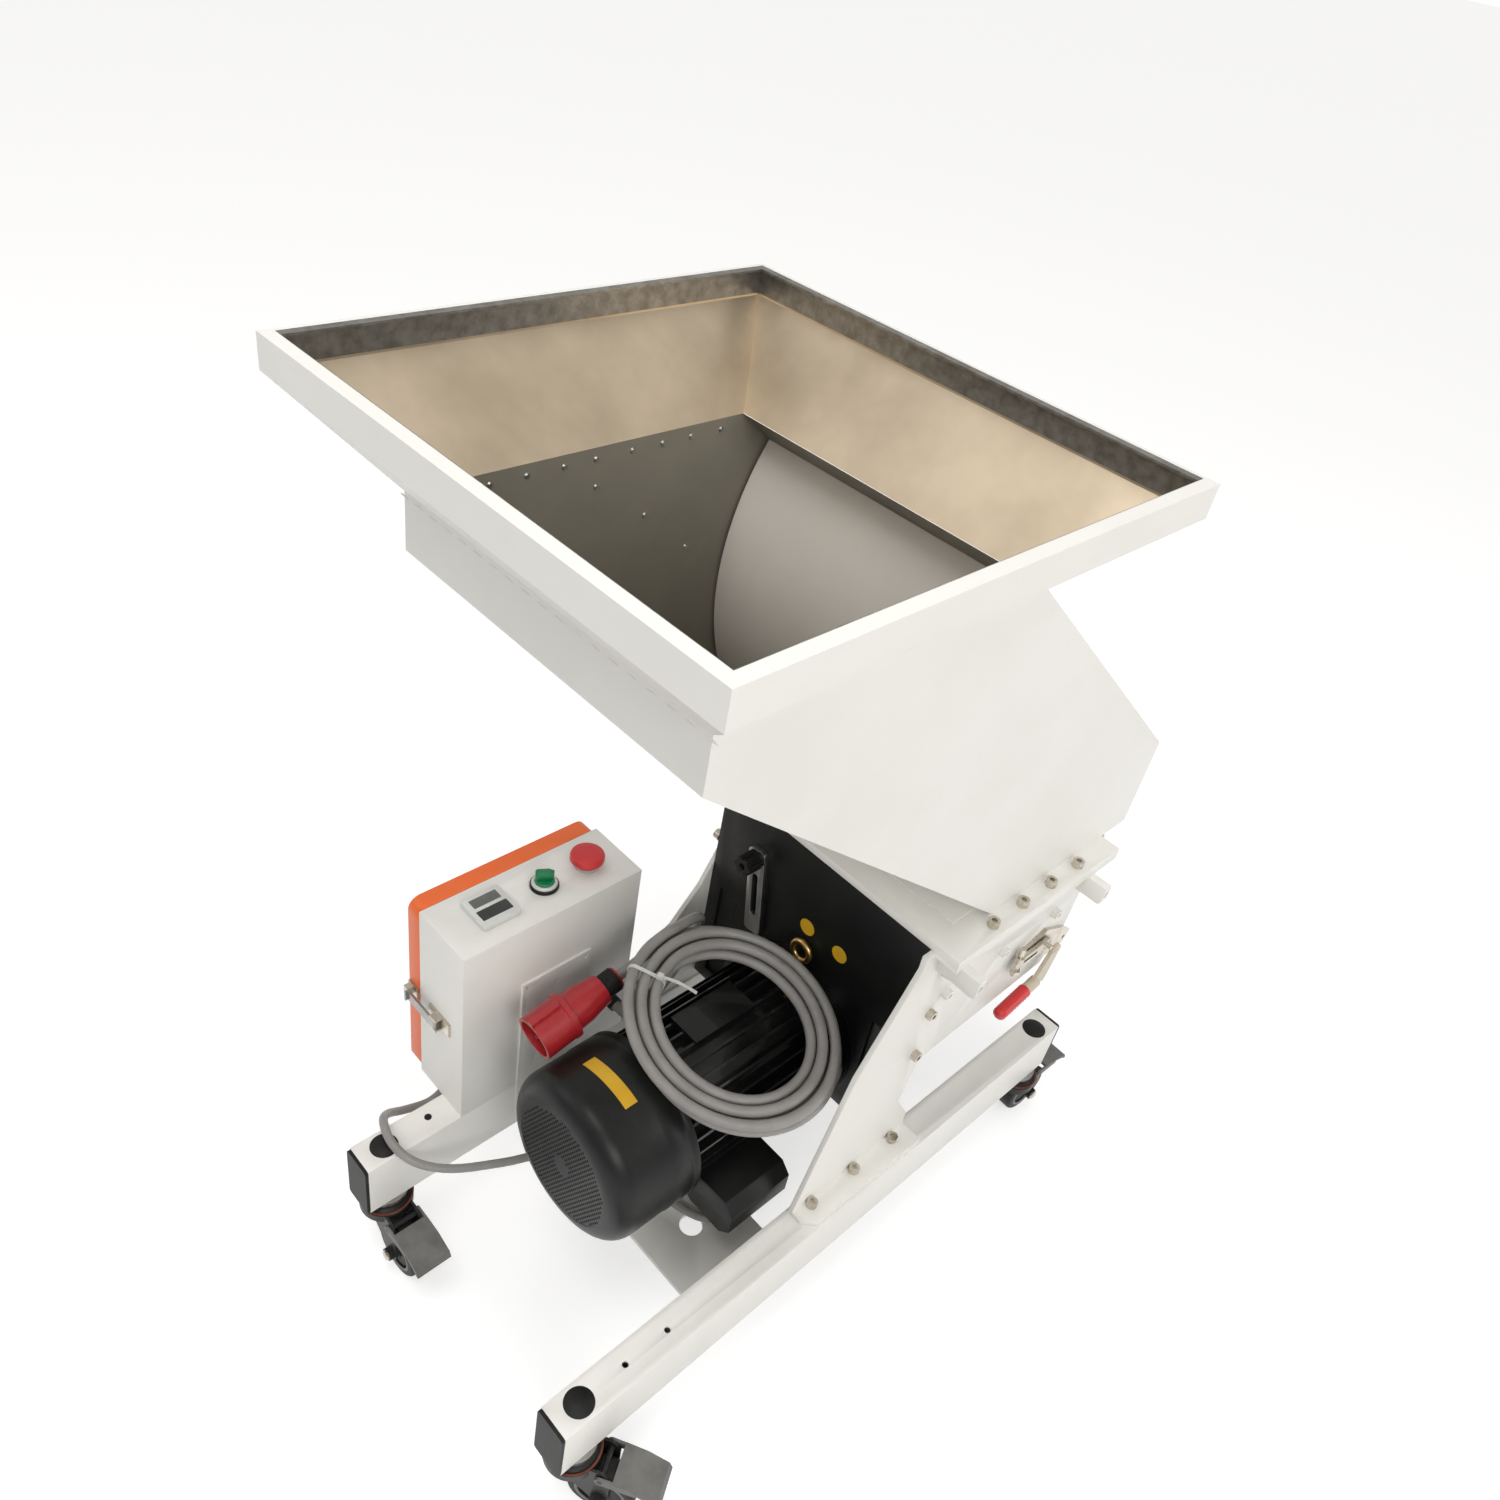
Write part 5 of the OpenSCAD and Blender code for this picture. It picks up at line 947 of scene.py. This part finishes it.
# %% Strip on the cowl
STRIP_PIXELS = ((590, 1060), (602, 1056), (631, 1106), (618, 1110))
STRIP_PARTS, STRIP_FOOT, STRIP_TOP = 16, 0.1000, 0.10035
spots = [hit("fan_cowl", *pixel_ray(*pixel))[0] for pixel in STRIP_PIXELS]
hub = at(0, 0, MOTOR_Z)
turns = [math.atan2(p.z - hub.z, p.x - hub.x) for p in spots]
lengths = sorted(p.y for p in spots)
y_from, y_to = (lengths[0] + lengths[1]) / 2, (lengths[2] + lengths[3]) / 2
section = ((STRIP_FOOT, y_from), (STRIP_TOP, y_from), (STRIP_TOP, y_to), (STRIP_FOOT, y_to))
bm = bmesh.new()
rows = []
for k in range(STRIP_PARTS + 1):
    a = min(turns) + (max(turns) - min(turns)) * k / STRIP_PARTS
    rows.append([bm.verts.new((hub.x + r * math.cos(a), y, hub.z + r * math.sin(a))) for r, y in section])
skin(bm, rows)
mesh_object("cowl_film", bm, yellow, "frame")
print("cowl film from y", round(y_from, 3), "to", round(y_to, 3))

# %% [markdown]
# ## Small covers
# A folded sheet closes the mouth of the cutting chamber in front of the hopper's foot. The clamp's
# lever ends in a red dipped grip, and a black plug fills the one hole in the left rail.

# %% Throat cover
NECK_Y, NECK_Z, CHUTE_SLOPE = -345.34, 950.7, math.radians(39.2)
COVER_SHEET, COVER_FOLD, CLEAR = 0.0016, 0.009, 0.0006
flange_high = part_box("hopper_flange")[1]
front_foot = at(0, NECK_Y + (NECK_Z - flange_high.z * 1000) / math.tan(CHUTE_SLOPE), 0).y - CLEAR
left_x, right_x, start = at(-158, 0, 0).x, at(158, 0, 0).x, at(0, 82, 0).y
profile = [(start, 0.0), (start, COVER_SHEET), (front_foot - COVER_SHEET, COVER_SHEET),
           (front_foot - COVER_SHEET - CLEAR, COVER_FOLD), (front_foot - CLEAR, COVER_FOLD), (front_foot, 0.0)]
bm = bmesh.new()
slab(bm, [Vector((left_x, y, flange_high.z + z + 0.00005)) for y, z in profile], right_x - left_x, (1, 0, 0))
mesh_object("throat_cover", bm, powder, "frame")
print("throat cover ends at y", round(front_foot, 3))

# %% Grip of the clamp's lever
GRIP_RINGS, GRIP_PITCH, GRIP_FALL = 9, 5, math.radians(12)
lever_low, lever_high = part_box("clamp_lever")
grip_start = Vector(((lever_low.x + lever_high.x) / 2, at(0, 304, 0).y, 0.348))
grip_profile = [(7.7, 20), (8.6, 21)]
for k in range(GRIP_RINGS):
    grip_profile += [(8.9, 24 + GRIP_PITCH * k), (8.4, 26.5 + GRIP_PITCH * k)]
grip_profile += [(8.7, 70), (7.4, 73.4), (4.5, 75.4), (0, 76.0), (0, 74.6), (7.55, 66)]
lathe("lever_grip", grip_profile, grip_start, (0, -math.cos(GRIP_FALL), -math.sin(GRIP_FALL)), signal_red,
      "clamp_lever_body", 40)

# %% Plug in the rail
RAIL_PLUG_PIXEL = (428, 1117)
foot, way = hit("left_rail", *pixel_ray(*RAIL_PLUG_PIXEL))
plug_profile = [(0, 0), (4.4, 0), (4.2, 0.5), (0, 0.8)]
lathe("rail_hole_plug", plug_profile, foot, UPWARD, black, "frame", 24)
print("the rail faces", [round(v, 2) for v in way])

# %% [markdown]
# ## Casters
# Each fork turns under a domed cap with an orange dust ring, and its wheel has a grey hub with a
# raised rim. The ring and the axle's bolts ride on the fork and the hub on the wheel, so all turn as
# the real ones do.

# %% Dust rings, hubs and axle bolts
CORNERS = {"near_left": (-1, -1), "near_right": (1, -1), "far_left": (-1, 1), "far_right": (1, 1)}
STEM_X, STEM_Y, DUST_RING_Z = 181, 386, 97.5
dust_orange = finish("dust_ring_orange", (0.2, 0.045, 0.02), (0.13, 0.03, 0.014), 0.45, patch=60.0, specular=0.3)
hub_grey = finish("hub_grey", (0.16, 0.16, 0.155), (0.12, 0.12, 0.115), 0.45, patch=40.0, worn=(0.3, 0.3, 0.29))
dust_ring = [(29.6, 0), (31.0, 0), (31.5, 0.7), (31.0, 1.4), (29.6, 1.4)]
hub_ring = [(24.8, 12.4), (28.4, 12.4), (28.4, 13.2), (27.6, 13.7), (25.6, 13.7), (24.8, 13.2)]
hub_disc = [(10.6, 10.05), (13.0, 11.4), (21.0, 11.4), (24.0, 10.05), (24.0, 9.9), (10.6, 9.9)]
axle_bolt = [(0, 24.05), (6.2, 24.05), (6.2, 25.6), (5.2, 26.8), (3.0, 27.3), (0, 27.4)]
for name, (sx, sy) in CORNERS.items():
    fork, wheel = f"fork_{name}_body", f"wheel_{name}_body"
    pin = at(sx * STEM_X, sy * STEM_Y, DUST_RING_Z)
    lathe("dust_ring_" + name, dust_ring, pin, UPWARD, dust_orange, fork)
    low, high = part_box("wheel_" + name)
    hub = (low + high) / 2
    trail = Vector((hub.x - pin.x, hub.y - pin.y, 0)).normalized()
    axle = Vector((-trail.y, trail.x, 0))
    for side, way in (("a", axle), ("b", -axle)):
        lathe(f"hub_ring_{name}_{side}", hub_ring, hub, way, hub_grey, wheel, 40)
        lathe(f"hub_disc_{name}_{side}", hub_disc, hub, way, rubber, wheel, 40)
        lathe(f"axle_bolt_{name}_{side}", axle_bolt, hub, way, nickel, fork, 24)
print("casters dressed:", len(CORNERS))

# %% [markdown]
# ## Weld beads
# The tray is stitch welded to the neck of the hopper, and the row of short beads on the motor side
# shows faintly through the paint. A tree walks along the seam, sets a point at every pitch and puts
# one flattened bead there, turned to follow the seam. The seam itself is a single edge.

# %% Beads along a seam
bead_tree, given, result = new_tree("Beads along a seam", [
    ("Pitch", NUMBER, 0.02), ("Bead Length", NUMBER, 0.008), ("Bead Height", NUMBER, 0.0012)])
line = add(bead_tree, "GeometryNodeMeshToCurve", {0: given["Geometry"]})
walked = add(bead_tree, "GeometryNodeCurveToPoints", {0: line.outputs[0], "Length": given["Pitch"]},
             mode="LENGTH")
ball = add(bead_tree, "GeometryNodeMeshUVSphere", {"Segments": 8, "Rings": 6, "Radius": 1.0})
bead_size = add(bead_tree, "ShaderNodeCombineXYZ", {0: given["Bead Height"], 1: given["Bead Height"],
                                                    2: given["Bead Length"]})
beads = add(bead_tree, "GeometryNodeInstanceOnPoints", {
    0: walked.outputs[0], "Instance": ball.outputs[0], "Rotation": walked.outputs["Rotation"],
    "Scale": bead_size.outputs[0]})
end_tree(bead_tree, given, result, beads.outputs[0])

seam = bpy.data.meshes.new("neck_seam")
seam.from_pydata([at(x, -348.4, 996.5) for x in (-172.3, 172.3)], [(0, 1)], [])
neck_beads = run_tree("neck_beads", bead_tree, seam, {"Pitch": 0.019, "Bead Length": 0.006, "Bead Height": 0.0008,
                                                      "Material": powder})
dress(neck_beads, powder, "frame", 0)

# %% [markdown]
# ## Floor and light
# A plain pale floor and soft light from all round, with one broad lamp on each side, one behind and
# one overhead, as in a bright hall. The floor is white for the camera and still takes the shadow.

# %% Floor
bm = bmesh.new()
bmesh.ops.create_grid(bm, x_segments=1, y_segments=1, size=40.0)
floor_mesh = bpy.data.meshes.new("floor")
bm.to_mesh(floor_mesh)
bm.free()
pale, tree, matt = new_material("pale_floor")
feed(tree, matt, Base_Color=(0.62, 0.62, 0.62, 1), Roughness=0.9, Specular_IOR_Level=0.0)
ray = add(tree, "ShaderNodeLightPath").outputs
seen = maths(tree, "MAXIMUM", ray["Is Camera Ray"], ray["Is Glossy Ray"])
lift = add(tree, "ShaderNodeEmission", {"Color": (1, 1, 1, 1), "Strength": maths(tree, "MULTIPLY", seen, 0.55)})
both = add(tree, "ShaderNodeAddShader", {0: matt.outputs[0], 1: lift.outputs[0]})
tree.links.new(both.outputs[0], tree.nodes["Material Output"].inputs["Surface"])
floor_mesh.materials.append(pale)
linked("floor", floor_mesh)

# %% World
world = bpy.data.worlds.new("hall")
bpy.context.scene.world = world
world.use_nodes = True
tree = world.node_tree
tree.nodes.clear()
skyward = height_of(tree, add(tree, "ShaderNodeTexCoord").outputs["Generated"])
brighter_up = add(tree, "ShaderNodeMapRange", {
    "Value": skyward, "From Min": -0.1, "From Max": 0.8, "To Min": 0.34, "To Max": 0.66}).outputs[0]
soft_light = add(tree, "ShaderNodeBackground", {"Color": (1.0, 0.985, 0.96, 1), "Strength": brighter_up})
white = add(tree, "ShaderNodeBackground", {"Color": (1, 1, 1, 1), "Strength": 1.0})
for_camera = add(tree, "ShaderNodeLightPath").outputs["Is Camera Ray"]
choose = add(tree, "ShaderNodeMixShader", {0: for_camera, 1: soft_light.outputs[0], 2: white.outputs[0]})
add(tree, "ShaderNodeOutputWorld", {0: choose.outputs[0]})


# %% Lamps
def lamp(name, place, aim, size, power, tint=(1, 1, 1)):
    data = bpy.data.lights.new(name, "AREA")
    data.shape = "RECTANGLE"
    data.size, data.size_y = size
    data.energy = power
    data.color = tint
    obj = linked(name, data)
    obj.location = place
    obj.rotation_euler = (Vector(aim) - Vector(place)).to_track_quat("-Z", "Y").to_euler()


lamp("window_right", (2.6, -1.4, 2.3), (0, 0, 0.6), (2.0, 1.4), 39, (1.0, 0.99, 0.97))
lamp("window_rear", (2.2, 1.8, 1.2), (0, 0, 0.45), (1.6, 1.2), 13, (1.0, 0.99, 0.97))
lamp("window_left", (-2.4, -2.0, 2.2), (0, 0, 0.6), (1.6, 1.2), 8, (0.97, 0.98, 1.0))
lamp("ceiling", (0.1, -0.9, 3.3), (0, -0.1, 0.8), (1.2, 1.6), 30)
print("lamps:", len(bpy.data.lights))
bpy.context.scene.view_settings.view_transform = "Standard"
